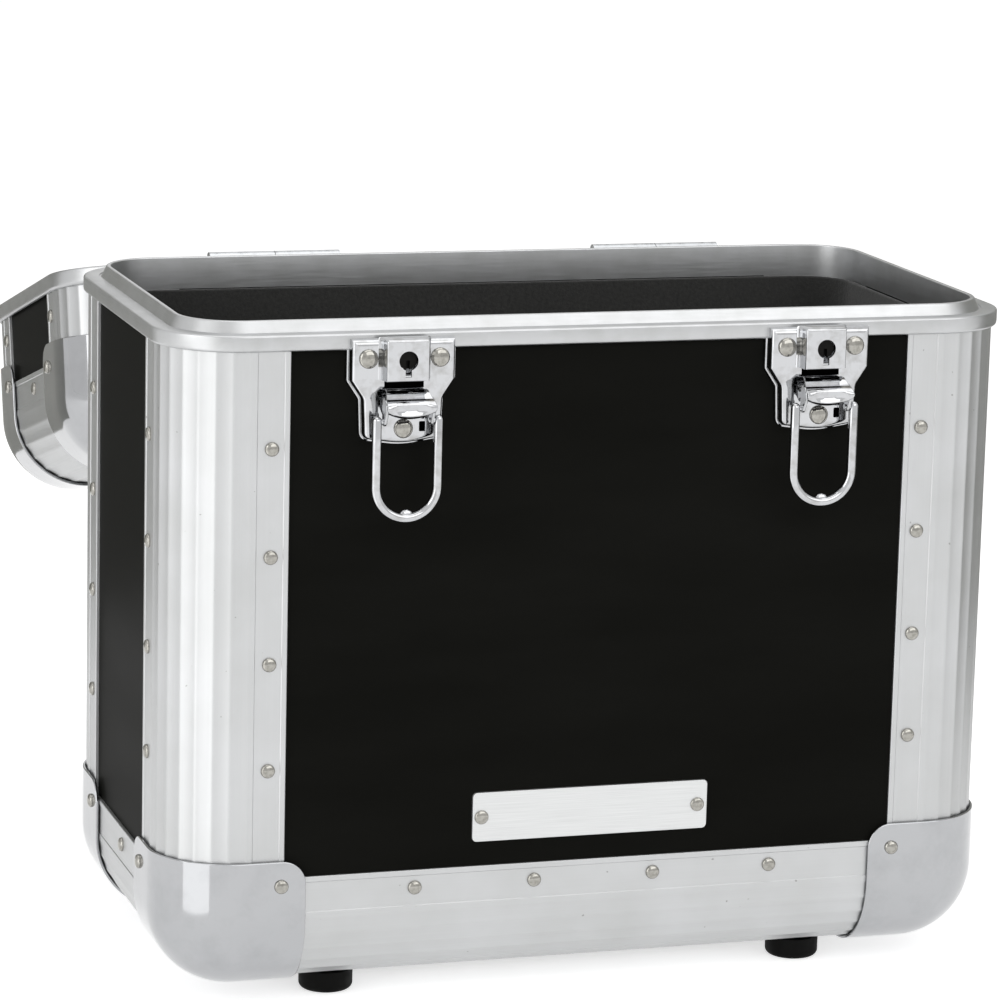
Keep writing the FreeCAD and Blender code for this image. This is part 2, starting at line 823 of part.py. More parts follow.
def hinge_leaf(start, end, bore_radius):
    """A cranked leaf below the pin's level: flat on the panel, stepping out past the rim to its knuckle."""
    stem_out = hinge_out - hinge_knuckle_radius
    slope_end = -hinge_stem - hinge_slope
    flat_end = slope_end - hinge_flat
    flat_out = hinge_sheet - bar_skin
    bend = hinge_sheet / 2
    points = [
        vec(-hinge_width / 2, -bar_skin, flat_end),
        vec(-hinge_width / 2, -bar_skin, slope_end),
        vec(-hinge_width / 2, stem_out, -hinge_stem),
        vec(-hinge_width / 2, stem_out, 0),
        vec(-hinge_width / 2, stem_out + hinge_sheet, 0),
        vec(-hinge_width / 2, stem_out + hinge_sheet, bend - hinge_stem - hinge_sheet),
        vec(-hinge_width / 2, flat_out, bend + slope_end - hinge_sheet),
        vec(-hinge_width / 2, flat_out, flat_end),
    ]
    leaf = prism(points, [0] * len(points), vec(hinge_width, 0, 0))
    knuckle = cylinder(hinge_knuckle_radius, vec(start, hinge_out, 0), vec(end - start, 0, 0))
    cuts = [cylinder(bore_radius, vec(-hinge_width, hinge_out, 0), vec(2 * hinge_width, 0, 0))]
    for low, high in ((-hinge_width / 2, start), (end, hinge_width / 2)):
        if high - low > least_edge:
            cuts.append(slab(vec(low, -overrun, -hinge_finger), vec(high, hinge_out + overrun, overrun)))
    return all_fused([leaf, knuckle]).cut(cuts)


def body_hinge_leaf():
    return hinge_leaf(hinge_side_gap / 2, hinge_width / 2, hinge_pin_radius)


def lid_hinge_leaf():
    leaf = hinge_leaf(-hinge_width / 2, -hinge_side_gap / 2, hinge_pin_radius + hinge_running_gap)
    return leaf.mirror(vec(0, 0, 0), vec(0, 0, 1))


def hinge_pin():
    return cylinder(hinge_pin_radius, vec(-hinge_width / 2, hinge_out, 0), vec(hinge_width, 0, 0))


# Handle, in the lid's tray frame: the tray's underside is the top of the closed case


def handle_bracket(side):
    """A plate on the lid with a lug, bored for the journal at that side's end of the rod."""
    half_x = handle_bracket_width / 2
    half_y = handle_bracket_depth / 2
    middle = side * handle_span / 2
    lug_start = middle + side * (handle_rod_radius + handle_side_gap)
    start = vec(min(lug_start, lug_start + side * handle_lug_width), 0, -handle_pivot_out)
    travel = vec(handle_lug_width, 0, 0)
    plate = slab(vec(middle - half_x, -half_y, bar_skin - handle_sheet), vec(middle + half_x, half_y, bar_skin))
    lug = cylinder(handle_lug_radius, start, travel)
    neck = slab(
        start + vec(0, -handle_lug_radius, 0),
        start + vec(handle_lug_width, handle_lug_radius, handle_pivot_out + bar_skin - handle_sheet),
    )
    bore = cylinder(handle_journal_radius + handle_running_gap, start - travel, travel * 3)
    return all_fused([plate, lug, neck]).cut(bore)


# The handle's frame: x from its middle, the pivot line at height 0, hanging down


def handle_rod():
    """A bent steel rod: a straight run inside the grip, two legs, and journals turned outward."""
    half_x = handle_span / 2
    straight = half_x - handle_bend
    bend_level = handle_bend - handle_drop
    path = [vec(-half_x, 0, handle_rod_radius)]
    path += bend_points(vec(-straight, 0, bend_level), handle_bend, half_turn, bend_steps)
    path += bend_points(vec(straight, 0, bend_level), handle_bend, half_turn + quarter_turn, bend_steps)
    path.append(vec(half_x, 0, handle_rod_radius))
    shapes = [bent_rod(path, handle_rod_radius, vec(0, 0, -1), vec(1, 0, 0))]
    for side in (-1, 1):
        journal = handle_rod_radius + handle_side_gap + handle_lug_width
        shapes.append(cylinder(handle_journal_radius, vec(side * half_x, 0, 0), vec(side * journal, 0, 0)))
    return all_fused(shapes)


def handle_grip():
    """A moulded sleeve round the rod."""
    half = handle_span / 2 - handle_bend - handle_grip_end_gap
    grip = cylinder(handle_grip_radius, vec(-half, 0, 0), vec(2 * half, 0, 0))
    rod = rod_face(handle_rod_radius, vec(-handle_span, 0, 0), vec(1, 0, 0), vec(0, 1, 0))
    grip = grip.cut(rod.extrude(vec(2 * handle_span, 0, 0)))
    grip.translate(vec(0, 0, -handle_drop))
    return grip


# Placing


def hinge_line():
    return vec(0, half_depth + hinge_out, foot_height + body_height + closing_gap / 2)


def lid_lean():
    """The open lid's lean past upside down: its ball corners stop just short of the case's back."""
    out = hinge_out + edge_radius
    down = lid_height + closing_gap / 2 - edge_radius
    reach = edge_radius + ball_gap + ball_sheet + lid_rest_gap - hinge_out
    return math.degrees(math.acos(reach / math.hypot(out, down)) - math.atan2(down, out))


def on_feet(shape):
    shape.translate(vec(0, 0, foot_height))
    return shape


def open_tray(shape):
    """Carries a piece of the upright lid tray to the open lid, which leans its near edge on the case's back."""
    rim_drop = closing_gap / 2 + lid_height
    shape.translate(hinge_line() + vec(0, hinge_out + half_depth, -rim_drop))
    shape.rotate(hinge_line(), vec(1, 0, 0), -lid_lean())
    return shape


def opened(shape):
    """Carries a piece modelled on the closed lid to the open lid."""
    shape.rotate(hinge_line(), vec(1, 0, 0), -half_turn - lid_lean())
    return shape


def on_front(shape, x):
    shape.translate(vec(x, -half_depth, foot_height))
    return shape


def on_back(shape, x):
    shape.translate(vec(x, 0, 0) + hinge_line() - vec(0, hinge_out, 0))
    return shape


def latch_places():
    side_x = half_width - latch_side_inset
    return {"left": latch_shift - side_x, "right": latch_shift + side_x}


def handle_pivot():
    """The handle's pivot line on the open lid."""
    return open_tray(Part.Vertex(0, 0, -handle_pivot_out)).Point


def body_pieces():
    pieces = {}
    for name, panel in tray_panels(body_wall_top).items():
        pieces[name + "_panel"] = panel
    for name, signs in corner_signs().items():
        pieces["upright_bar_" + name] = mirrored(upright_bar(body_wall_top, bar_upright_leg), *signs)
    pieces["ball_corners"] = ball_corner_set()
    pieces["base_bar_front"] = front_base_bar(bar_upright_leg)
    pieces["base_bar_rear"] = mirrored(pieces["base_bar_front"], False, True)
    pieces["base_bar_left"] = left_base_bar(bar_upright_leg)
    pieces["base_bar_right"] = mirrored(pieces["base_bar_left"], True, False)
    pieces["body_rim"] = body_rim()
    pieces["body_lining"] = lining(body_wall_top)
    pieces["body_base_pad"] = base_pad(body_pad_thickness)
    pieces["name_plate"] = name_plate()
    pieces["feet"] = Part.makeCompound([foot().translate(place) for place in feet_places()])
    return {name: on_feet(shape) for name, shape in pieces.items()}


def lid_pieces():
    pieces = {}
    uprights = []
    turned = {"front": "rear", "rear": "front"}
    for name, panel in tray_panels(lid_wall_top).items():
        pieces["lid_top_panel" if name == "base" else "lid_" + turned.get(name, name) + "_panel"] = panel
    for signs in corner_signs().values():
        uprights.append(mirrored(upright_bar(lid_wall_top, bar_leg), *signs))
    pieces["lid_ball_corners"] = ball_corner_set()
    pieces["lid_upright_bars"] = Part.makeCompound(uprights)
    pieces["lid_edge_bar_rear"] = front_base_bar(bar_leg)
    pieces["lid_edge_bar_front"] = mirrored(pieces["lid_edge_bar_rear"], False, True)
    pieces["lid_edge_bar_left"] = left_base_bar(bar_leg)
    pieces["lid_edge_bar_right"] = mirrored(pieces["lid_edge_bar_left"], True, False)
    pieces["lid_rim"] = lid_rim()
    pieces["lid_lining"] = lining(lid_wall_top)
    pieces["lid_pad"] = base_pad(lid_pad_thickness)
    pieces["handle_bracket_left"] = handle_bracket(-1)
    pieces["handle_bracket_right"] = handle_bracket(1)
    return {name: open_tray(shape) for name, shape in pieces.items()}


def latch_pieces():
    pieces = {}
    cylinders = []
    lugs = []
    for side, x in latch_places().items():
        pieces["latch_base_" + side] = on_front(latch_base(), x)
        pieces["lock_case_" + side] = on_front(lock_case(), x)
        pieces["latch_lever_" + side] = on_front(latch_lever(), x)
        pieces["latch_bail_" + side] = on_front(bail_solid(), x)
        pieces["lid_catch_" + side] = opened(on_front(catch_plate(), x))
        pieces["lever_pin_" + side] = on_front(lever_pin(), x)
        cylinders.append(on_front(key_cylinder(), x))
        lugs += [on_front(lug, x) for lug in pivot_lugs()]
    pieces["key_cylinders"] = Part.makeCompound(cylinders)
    pieces["lever_lugs"] = Part.makeCompound(lugs)
    return pieces


def hinge_pieces():
    body_leaves = []
    lid_leaves = []
    pins = []
    for x in (hinge_side_inset - half_width, half_width - hinge_side_inset):
        body_leaves.append(on_back(body_hinge_leaf(), x))
        lid_leaves.append(opened(on_back(lid_hinge_leaf(), x)))
        pins.append(on_back(hinge_pin(), x))
    return {
        "body_hinge_leaves": Part.makeCompound(body_leaves),
        "lid_hinge_leaves": Part.makeCompound(lid_leaves),
        "hinge_pins": Part.makeCompound(pins),
    }


def handle_pieces():
    pieces = {"handle_rod": handle_rod(), "handle_grip": handle_grip()}
    return {name: shape.translate(handle_pivot()) for name, shape in pieces.items()}


def all_pieces():
    pieces = {}
    for group in (body_pieces(), lid_pieces(), latch_pieces(), hinge_pieces(), handle_pieces()):
        pieces.update(group)
    return pieces


def origin_shift(pieces):
    """The move that puts the origin on the floor under the middle of the open case's outline."""
    box = Part.makeCompound(list(pieces.values())).optimalBoundingBox(False)
    return vec(-box.Center.x, -box.Center.y, -box.ZMin)


case_pieces = all_pieces()
shift = origin_shift(case_pieces)
os.makedirs("parts", exist_ok=True)
for name, shape in case_pieces.items():
    shape.translate(shift)
    shape.exportStep("parts/" + name + ".step")
print(len(case_pieces), "nodes, lid lean", lid_lean(), "origin moved by", shift)
print("hinge line", hinge_line() + shift, "handle pivot", handle_pivot() + shift)
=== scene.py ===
import math

import bmesh
import bpy
from mathutils import Matrix, Vector
from mathutils.geometry import tessellate_polygon


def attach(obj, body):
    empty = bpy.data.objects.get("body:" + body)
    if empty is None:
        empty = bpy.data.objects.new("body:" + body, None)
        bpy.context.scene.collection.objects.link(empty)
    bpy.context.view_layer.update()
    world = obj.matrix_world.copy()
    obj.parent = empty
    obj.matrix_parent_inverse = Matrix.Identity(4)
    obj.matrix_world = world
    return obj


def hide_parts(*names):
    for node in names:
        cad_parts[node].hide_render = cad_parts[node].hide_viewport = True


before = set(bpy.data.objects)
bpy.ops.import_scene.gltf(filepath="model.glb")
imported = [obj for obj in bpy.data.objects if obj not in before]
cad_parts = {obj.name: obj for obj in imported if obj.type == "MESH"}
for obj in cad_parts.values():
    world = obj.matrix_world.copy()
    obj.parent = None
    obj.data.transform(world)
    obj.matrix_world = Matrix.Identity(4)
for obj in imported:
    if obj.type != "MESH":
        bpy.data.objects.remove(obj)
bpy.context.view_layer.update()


# Panels
# Five flat sheets close the case body and five close the lid: thin board with a black laminate on both sides.
# They slide into the slots of the edge bars, so only their fields between the bars show.

def linear(hex_colour):
    """An sRGB hex colour as linear red, green, blue and alpha."""
    parts = [int(hex_colour[start:start + 2], 16) / 255 for start in (1, 3, 5)]
    return [v / 12.92 if v <= 0.04045 else ((v + 0.055) / 1.055) ** 2.4 for v in parts] + [1]


def feed(tree, made, inputs):
    """Sets each input of a node to a value, or links it from a socket."""
    for key, value in inputs.items():
        if isinstance(value, bpy.types.NodeSocket):
            tree.links.new(value, made.inputs[key])
        else:
            made.inputs[key].default_value = value


def add(tree, kind, inputs=None, **settings):
    """Adds a shader node with its settings and its inputs."""
    made = tree.nodes.new("ShaderNode" + kind)
    for key, value in settings.items():
        setattr(made, key, value)
    feed(tree, made, inputs or {})
    return made


def started(name):
    """A new material's tree, its shader and the piece's own coordinates, which are in metres."""
    made = bpy.data.materials.new(name)
    made.use_nodes = True
    tree = made.node_tree
    return made, tree, tree.nodes["Principled BSDF"], add(tree, "TexCoord").outputs["Object"]


def ramp(tree, factor, low, high, low_value, high_value):
    """Turns a factor between low and high into a value between two others."""
    mapped = add(tree, "MapRange", {
        "Value": factor, "From Min": low, "From Max": high, "To Min": low_value, "To Max": high_value,
    })
    return mapped.outputs["Result"]


def toned(tree, factor, low, high, first, second):
    """The colour between two hex colours, as a factor goes from low to high."""
    return add(tree, "MixRGB", {
        "Fac": ramp(tree, factor, low, high, 0, 1), "Color1": linear(first), "Color2": linear(second),
    }).outputs["Color"]


def dress(node, material):
    """Gives a CAD node its finish."""
    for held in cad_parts[node].material_slots:
        held.material = material


# High-pressure laminate, pressed against a fine satin plate: near black, its gloss broken by a pebble of
# about 1 mm, which is drawn a little coarser than it is, and by faint wiping marks some centimetres long.
laminate, tree, shader, own = started("black_satin_laminate")
pebble = add(tree, "TexNoise", {"Vector": own, "Scale": 780, "Detail": 2, "Roughness": 0.6}).outputs["Fac"]
stretched = add(tree, "Mapping", {"Vector": own, "Scale": (9, 9, 34)}).outputs["Vector"]
wiping = add(tree, "TexNoise", {"Vector": stretched, "Scale": 1, "Detail": 4}).outputs["Fac"]
feed(tree, shader, {
    "Base Color": toned(tree, wiping, 0.35, 0.7, "#161614", "#1a1a18"),
    "Roughness": ramp(tree, wiping, 0.3, 0.75, 0.3, 0.36), "Specular IOR Level": 0.004,
    "Normal": add(tree, "Bump", {"Height": pebble, "Strength": 0.12, "Distance": 0.0001}).outputs["Normal"],
})

for side in ("front", "rear", "left", "right"):
    dress(side + "_panel", laminate)
    dress("lid_" + side + "_panel", laminate)
dress("base_panel", laminate)
dress("lid_top_panel", laminate)


# Edge bars
# Aluminium extrusions along every edge: a fluted quarter round between two legs that are riveted over the
# panels. Each leg has a raised lip at its free edge and a sunken flat for the rivets.

mm = 0.001
half_width = 182.5
half_depth = 96
body_height = 277.5
lid_height = 88
foot_height = 9
edge_radius = 33
bar_skin = 1.4
bar_inside = 9.3
bar_leg = 49
bar_upright_leg = 50.5
bar_inner_leg = 45
bar_lip = 2.2
bar_flat_drop = 0.3
flute_count = 7
flute_depth = 0.42
rim_web = 1.6
lid_wall_top = lid_height - 6
hinge_line = Vector((0, 5.3, 286.6)) * mm
lid_lean = math.radians(15.364218)
body_place = Matrix.Translation(Vector((0, -99.7, foot_height)) * mm)
lid_place = (
    Matrix.Translation(hinge_line) @ Matrix.Rotation(-lid_lean, 4, "X")
    @ Matrix.Translation(Vector((0, half_depth + 9, -lid_height - 0.1)) * mm)
)


def at(x, y, z):
    return Matrix.Translation(Vector((x, y, z)) * mm)


def turned_by(degrees, axis="Z"):
    return Matrix.Rotation(math.radians(degrees), 4, axis)


def piece(name, shape, place, body, material, nodes=(), sharp=28):
    """A mesh piece from points in millimetres. It rides on its body and stands for its CAD nodes."""
    mesh = bpy.data.meshes.new(name)
    mesh.from_pydata([Vector(point) * mm for point in shape[0]], [], shape[1])
    edit = bmesh.new()
    edit.from_mesh(mesh)
    bmesh.ops.remove_doubles(edit, verts=edit.verts, dist=0.000001)
    bmesh.ops.dissolve_degenerate(edit, edges=edit.edges, dist=0.000001)
    bmesh.ops.recalc_face_normals(edit, faces=edit.faces)
    edit.to_mesh(mesh)
    edit.free()
    mesh.shade_smooth()
    mesh.set_sharp_from_angle(angle=math.radians(sharp))
    mesh.materials.append(material)
    made = bpy.data.objects.new(name, mesh)
    bpy.context.scene.collection.objects.link(made)
    made.matrix_world = place
    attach(made, body)
    if nodes:
        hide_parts(*nodes)
    return made


def joined(shapes):
    points, faces = [], []
    for more_points, more_faces in shapes:
        faces += [tuple(index + len(points) for index in face) for face in more_faces]
        points += [tuple(point) for point in more_points]
    return points, faces


def moved(shape, place):
    """The shape carried by a matrix whose lengths are millimetres."""
    return [place @ Vector(point) for point in shape[0]], shape[1]


def extruded(outline, start, end):
    """A closed outline of (x, y) points drawn out along Z."""
    count = len(outline)
    points = [(x, y, z) for z in (start, end) for x, y in outline]
    faces = [(i, (i + 1) % count, (i + 1) % count + count, i + count) for i in range(count)]
    return points, faces + [tuple(range(count)), tuple(range(count, 2 * count))]


def arc(centre, radius, start, end, steps):
    """Points on an arc, its angles in degrees."""
    angles = [math.radians(start + (end - start) * step / steps) for step in range(steps + 1)]
    return [(centre[0] + radius * math.cos(a), centre[1] + radius * math.sin(a)) for a in angles]


def leg_line(leg):
    """One leg's outer face as (along, depth) points, from its free end to the round."""
    edge = 0.25
    step = bar_lip + bar_flat_drop
    return [
        (leg, bar_skin), (leg, edge), (leg - edge, 0), (leg - bar_lip, 0), (leg - step, bar_flat_drop),
        (edge_radius + step, bar_flat_drop), (edge_radius + bar_lip, 0), (edge_radius, 0),
    ]


def bar_outline(leg_x, leg_y):
    """The bar's section: two legs and the round, with shallow hollow flutes between narrow ridges."""
    outline = leg_line(leg_x)
    for flute in range(flute_count):
        for step in range(1, 13):
            across = (step - 0.5) / 12
            hollow = max(0, 1 - (2 * across - 1) ** 2 * 1.12)
            turn = math.radians(90) * (flute + across) / flute_count
            radius = edge_radius - flute_depth * hollow
            outline.append((edge_radius - radius * math.sin(turn), edge_radius - radius * math.cos(turn)))
    outline += [(depth, along) for along, depth in reversed(leg_line(leg_y))]
    outline += [(bar_skin, bar_inner_leg), (bar_inside, bar_inner_leg)]
    outline += arc((edge_radius, edge_radius), edge_radius - bar_inside, 180, 270, 10)
    return outline + [(bar_inner_leg, bar_inside), (bar_inner_leg, bar_skin)]


# Satin anodised aluminium: pale and matt with a soft wide gloss, drawn out in fine lines along the bar by the
# extrusion die (about 0.2 mm apart, drawn at 0.6 mm), with rare dark pin specks and faint paler clouds.
anodised, tree, shader, own = started("satin_anodised_aluminium")
drawn = add(tree, "Mapping", {"Vector": own, "Scale": (1600, 1600, 14)}).outputs["Vector"]
lines = add(tree, "TexNoise", {"Vector": drawn, "Scale": 1, "Detail": 2}).outputs["Fac"]
cloud = add(tree, "TexNoise", {"Vector": own, "Scale": 26, "Detail": 3}).outputs["Fac"]
speck = add(tree, "TexNoise", {"Vector": own, "Scale": 420, "Detail": 1}).outputs["Fac"]
specked = add(tree, "MixRGB", {
    "Fac": ramp(tree, speck, 0.79, 0.82, 0, 0.55), "Color2": linear("#6f6e69"),
    "Color1": toned(tree, cloud, 0.3, 0.7, "#b7b8b8", "#bfc0c1"),
}).outputs["Color"]
feed(tree, shader, {
    "Base Color": specked, "Metallic": 1, "Roughness": ramp(tree, lines, 0.3, 0.7, 0.38, 0.46),
    "Normal": add(tree, "Bump", {"Height": lines, "Strength": 0.1, "Distance": 0.00005}).outputs["Normal"],
})

# Corners in order, each a quarter turn on from the last, with the way that a tray's corner is reached.
corners = [
    ("front_left", -half_width, -half_depth, 0),
    ("front_right", half_width, -half_depth, 90),
    ("rear_right", half_width, half_depth, 180),
    ("rear_left", -half_width, half_depth, 270),
]
lying = Matrix(((0, 0, 1, 0), (1, 0, 0, 0), (0, 1, 0, 0), (0, 0, 0, 1)))
upright_section = bar_outline(bar_leg, bar_leg)
for name, x, y, turn in corners:
    shape = extruded(upright_section, bar_upright_leg, body_height - rim_web)
    piece(
        "upright_bar_visual_" + name, shape, body_place @ at(x, y, 0) @ turned_by(turn), "case_body",
        anodised, ["upright_bar_" + name],
    )
lid_uprights = []
for name, x, y, turn in corners:
    shape = extruded(upright_section, bar_leg, lid_wall_top)
    carry = Matrix.Translation((x, y, 0)) @ turned_by(turn)
    lid_uprights.append(moved(shape, carry))
piece(
    "lid_upright_bars_visual", joined(lid_uprights), lid_place, "lid", anodised,
    ["lid_upright_bars"],
)
for tray_place, body, prefix, upright_leg, front_node, rear_node in (
    (body_place, "case_body", "base_bar_", bar_upright_leg, "front", "rear"),
    (lid_place, "lid", "lid_edge_bar_", bar_leg, "rear", "front"),
):
    section = bar_outline(bar_leg, upright_leg)
    for side, x, y, turn, length in (
        (front_node, -half_width, -half_depth, 0, 2 * half_width),
        ("right", half_width, -half_depth, 90, 2 * half_depth),
        (rear_node, half_width, half_depth, 180, 2 * half_width),
        ("left", -half_width, half_depth, 270, 2 * half_depth),
    ):
        shape = extruded(section, bar_leg - 3, length - bar_leg + 3)
        piece(
            prefix + "visual_" + side, shape, tray_place @ at(x, y, 0) @ turned_by(turn) @ lying, body,
            anodised, [prefix + side],
        )


# Ball corners
# Deep-drawn steel caps over the case's eight corners: a ball that runs out into three lobes, one on each
# face, with a rivet in each lobe. The steel is polished and plated bright.

ball_out = 1.5
ball_sheet = 1.2
ball_reach = 58
ball_tip_round = 10


def grid_faces(rows, columns, start=0):
    """The faces of a grid whose points run row by row from a start."""
    faces = []
    for row in range(rows):
        for column in range(columns):
            first = start + row * (columns + 1) + column
            faces.append((first, first + 1, first + columns + 2, first + columns + 1))
    return faces


def ball_corner_shape():
    """The cap's outer skin: three square fields bent over the round, with rounded tips."""
    radius = edge_radius + ball_out
    lines = [edge_radius - radius * math.tan(math.radians(45 * (1 - step / 12))) for step in range(12)]
    lines += [edge_radius + (ball_reach - ball_tip_round - edge_radius) * step / 3 for step in range(3)]
    lines += [ball_reach - ball_tip_round + ball_tip_round * step / 5 for step in range(6)]
    shapes = []
    for axis in range(3):
        points = []
        for v in lines:
            for u in lines:
                past_u = max(0, u - ball_reach + ball_tip_round)
                past_v = max(0, v - ball_reach + ball_tip_round)
                low_u = u - past_u + past_u * math.sqrt(1 - past_v ** 2 / (2 * ball_tip_round ** 2))
                low_v = v - past_v + past_v * math.sqrt(1 - past_u ** 2 / (2 * ball_tip_round ** 2))
                flat = Vector((low_u, low_v, -ball_out))
                centre = Vector((max(low_u, edge_radius), max(low_v, edge_radius), edge_radius))
                skin = centre + (flat - centre).normalized() * radius
                points.append((skin[-axis % 3], skin[(1 - axis) % 3], skin[(2 - axis) % 3]))
        shapes.append((points, grid_faces(len(lines) - 1, len(lines) - 1)))
    return joined(shapes)


# Bright chromium on polished steel: a near mirror, softened a little by handling, with hazy smudges a
# centimetre or two wide and a slight unevenness left by the drawing of the sheet.
chromed, tree, shader, own = started("bright_chromed_steel")
smudge = add(tree, "TexNoise", {"Vector": own, "Scale": 60, "Detail": 5, "Roughness": 0.65}).outputs["Fac"]
wave = add(tree, "TexNoise", {"Vector": own, "Scale": 34, "Detail": 1}).outputs["Fac"]
feed(tree, shader, {
    "Base Color": toned(tree, smudge, 0.45, 0.75, "#abacae", "#a3a4a6"), "Metallic": 1,
    "Roughness": ramp(tree, smudge, 0.4, 0.75, 0.07, 0.12),
    "Normal": add(tree, "Bump", {"Height": wave, "Strength": 0.05, "Distance": 0.0004}).outputs["Normal"],
})


def bevelled(made, width, segments=2, angle=35):
    edge = made.modifiers.new("edge", "BEVEL")
    edge.width = width * mm
    edge.segments = segments
    edge.limit_method = "ANGLE"
    edge.angle_limit = math.radians(angle)
    edge.harden_normals = False


def thickened(made, thickness, even=False):
    skin = made.modifiers.new("sheet", "SOLIDIFY")
    skin.thickness = thickness * mm
    skin.offset = -1
    skin.use_even_offset = even
    met = {}
    for face in made.data.polygons:
        for key in face.edge_keys:
            met[key] = met.get(key, 0) + 1
    for edge in made.data.edges:
        if met.get(edge.key) == 1:
            edge.use_edge_sharp = True


corner_caps = joined([
    moved(ball_corner_shape(), Matrix.Translation((x, y, 0)) @ turned_by(turn)) for _, x, y, turn in corners
])
for prefix, place, body in (("", body_place, "case_body"), ("lid_", lid_place, "lid")):
    caps = piece(
        prefix + "ball_corners_visual", corner_caps, place, body, chromed,
        [prefix + "ball_corners"], 40,
    )
    thickened(caps, ball_sheet, True)
    bevelled(caps, 0.35, 2, 60)


# Rims
# Aluminium closing frames round both openings, bent from one length. The body's has a band outside, a ledge
# and a tapered tongue. The lid's has a band and a rebate that takes the tongue.

def rounded(points, radii, steps=5):
    """A closed outline with each corner rounded by its own radius, and 0 leaves it sharp."""
    made = []
    for index, here in enumerate(points):
        here = Vector(here)
        if not radii[index]:
            made.append(tuple(here))
            continue
        back = (Vector(points[index - 1]) - here).normalized()
        ahead = (Vector(points[(index + 1) % len(points)]) - here).normalized()
        half = back.angle(ahead) / 2
        start = here + back * radii[index] / math.tan(half)
        end = here + ahead * radii[index] / math.tan(half)
        centre = here + (back + ahead).normalized() * radii[index] / math.sin(half)
        for step in range(steps + 1):
            spoke = (start - centre).slerp(end - centre, step / steps)
            made.append(tuple(centre + spoke.normalized() * radii[index]))
    return made


def swept(profile, closed=True, steps=16):
    """Sweeps (outward, up) points round the case's rounded outline. An open profile is capped at its ends."""
    points, faces = [], []
    for quarter in range(4):
        sign_x = 1 if quarter in (0, 3) else -1
        sign_y = 1 if quarter < 2 else -1
        centre = (sign_x * (half_width - edge_radius), sign_y * (half_depth - edge_radius))
        for step in range(steps + 1):
            turn = math.radians(90 * (quarter + step / steps))
            for outward, up in profile:
                reach = edge_radius + outward
                points.append((centre[0] + reach * math.cos(turn), centre[1] + reach * math.sin(turn), up))
    across = len(profile)
    stations = 4 * (steps + 1)
    for station in range(stations):
        here = station * across
        ahead = (station + 1) % stations * across
        for index in range(across if closed else across - 1):
            last = (index + 1) % across
            faces.append((here + index, ahead + index, ahead + last, here + last))
    if not closed:
        faces.append(tuple(station * across for station in range(stations)))
        faces.append(tuple(station * across + across - 1 for station in range(stations)))
    return points, faces


# Satin aluminium bent and brushed along its length: brighter and smoother than the bars, its gloss drawn
# along the rim, with fine handling scratches.
rim_finish, tree, shader, own = started("satin_rim_aluminium")
drawn = add(tree, "Mapping", {"Vector": own, "Scale": (60, 60, 2600)}).outputs["Vector"]
brush = add(tree, "TexNoise", {"Vector": drawn, "Scale": 1, "Detail": 3}).outputs["Fac"]
wear = add(tree, "TexNoise", {"Vector": own, "Scale": 90, "Detail": 4}).outputs["Fac"]
feed(tree, shader, {
    "Base Color": toned(tree, wear, 0.4, 0.7, "#b9babb", "#b1b2b2"), "Metallic": 1,
    "Roughness": ramp(tree, brush, 0.3, 0.7, 0.3, 0.4),
    "Normal": add(tree, "Bump", {"Height": brush, "Strength": 0.08, "Distance": 0.00005}).outputs["Normal"],
})

inner_face = -9.6
body_profile = rounded(
    [
        (0, -7), (2.2, -7), (2.2, 0), (-4.6, 0), (-4.8, -0.35), (-5.5, -0.35), (-7.8, 4.5),
        (inner_face, 4.5), (inner_face, -9.6), (-8.4, -9.6), (-8.4, -1.6), (0, -1.6),
    ],
    [0, 1.8, 0.9, 0, 0, 0.2, 0.6, 0.5, 0, 0, 0, 0],
)
piece(
    "body_rim_visual", swept([(out, body_height + up) for out, up in body_profile]), body_place, "case_body",
    rim_finish, ["body_rim"],
)
lid_profile = rounded(
    [
        (0, -7.5), (2.2, -7.5), (2.2, 0), (-5.1, 0), (-5.1, -4.8), (inner_face, -4.8),
        (inner_face, -14), (-8.4, -14), (-8.4, -6), (0, -6),
    ],
    [0, 1.8, 0.9, 0.4, 0, 0.5, 0, 0, 0, 0],
)
piece(
    "lid_rim_visual", swept([(out, lid_height + up) for out, up in lid_profile]), lid_place, "lid",
    rim_finish, ["lid_rim"],
)


# Linings and pads
# Felt-covered skins glued inside body and lid, each with a loose foam sheet on its floor under the same felt.
# They keep the sleeves that the case carries from rubbing.

felt_inset = 9.8
felt_thickness = 2.5
felt_edge = 0.8
felt_below_wall = 8.2


def lining_profile(top):
    """From the floor outside, up the wall, over the top edge and down again to the floor inside."""
    outer = edge_radius - felt_inset
    inner = outer - felt_thickness
    inside = -felt_inset - felt_thickness
    line = arc((-edge_radius, edge_radius), outer, 270, 360, 8)
    line += [(-felt_inset, top - felt_edge), (-felt_inset - felt_edge, top)]
    line += [(inside + felt_edge, top), (inside, top - felt_edge)]
    return line + arc((-edge_radius, edge_radius), inner, 360, 270, 10)


# Needled wool felt, dyed black: no gloss, a soft pile of about 1 mm that is drawn at 1.5 mm, slightly uneven.
felt, tree, shader, own = started("black_needled_felt")
pile = add(tree, "TexNoise", {"Vector": own, "Scale": 620, "Detail": 5, "Roughness": 0.7}).outputs["Fac"]
patch = add(tree, "TexNoise", {"Vector": own, "Scale": 30, "Detail": 2}).outputs["Fac"]
shaded = add(tree, "MixRGB", {
    "Fac": ramp(tree, patch, 0.3, 0.7, 0, 0.35), "Color2": linear("#1a1a19"),
    "Color1": toned(tree, pile, 0.35, 0.7, "#161615", "#2a2a28"),
}).outputs["Color"]
feed(tree, shader, {
    "Base Color": shaded, "Roughness": 0.95, "Specular IOR Level": 0.15,
    "Sheen Weight": 0.25, "Sheen Roughness": 0.6,
    "Normal": add(tree, "Bump", {"Height": pile, "Strength": 0.6, "Distance": 0.0006}).outputs["Normal"],
})

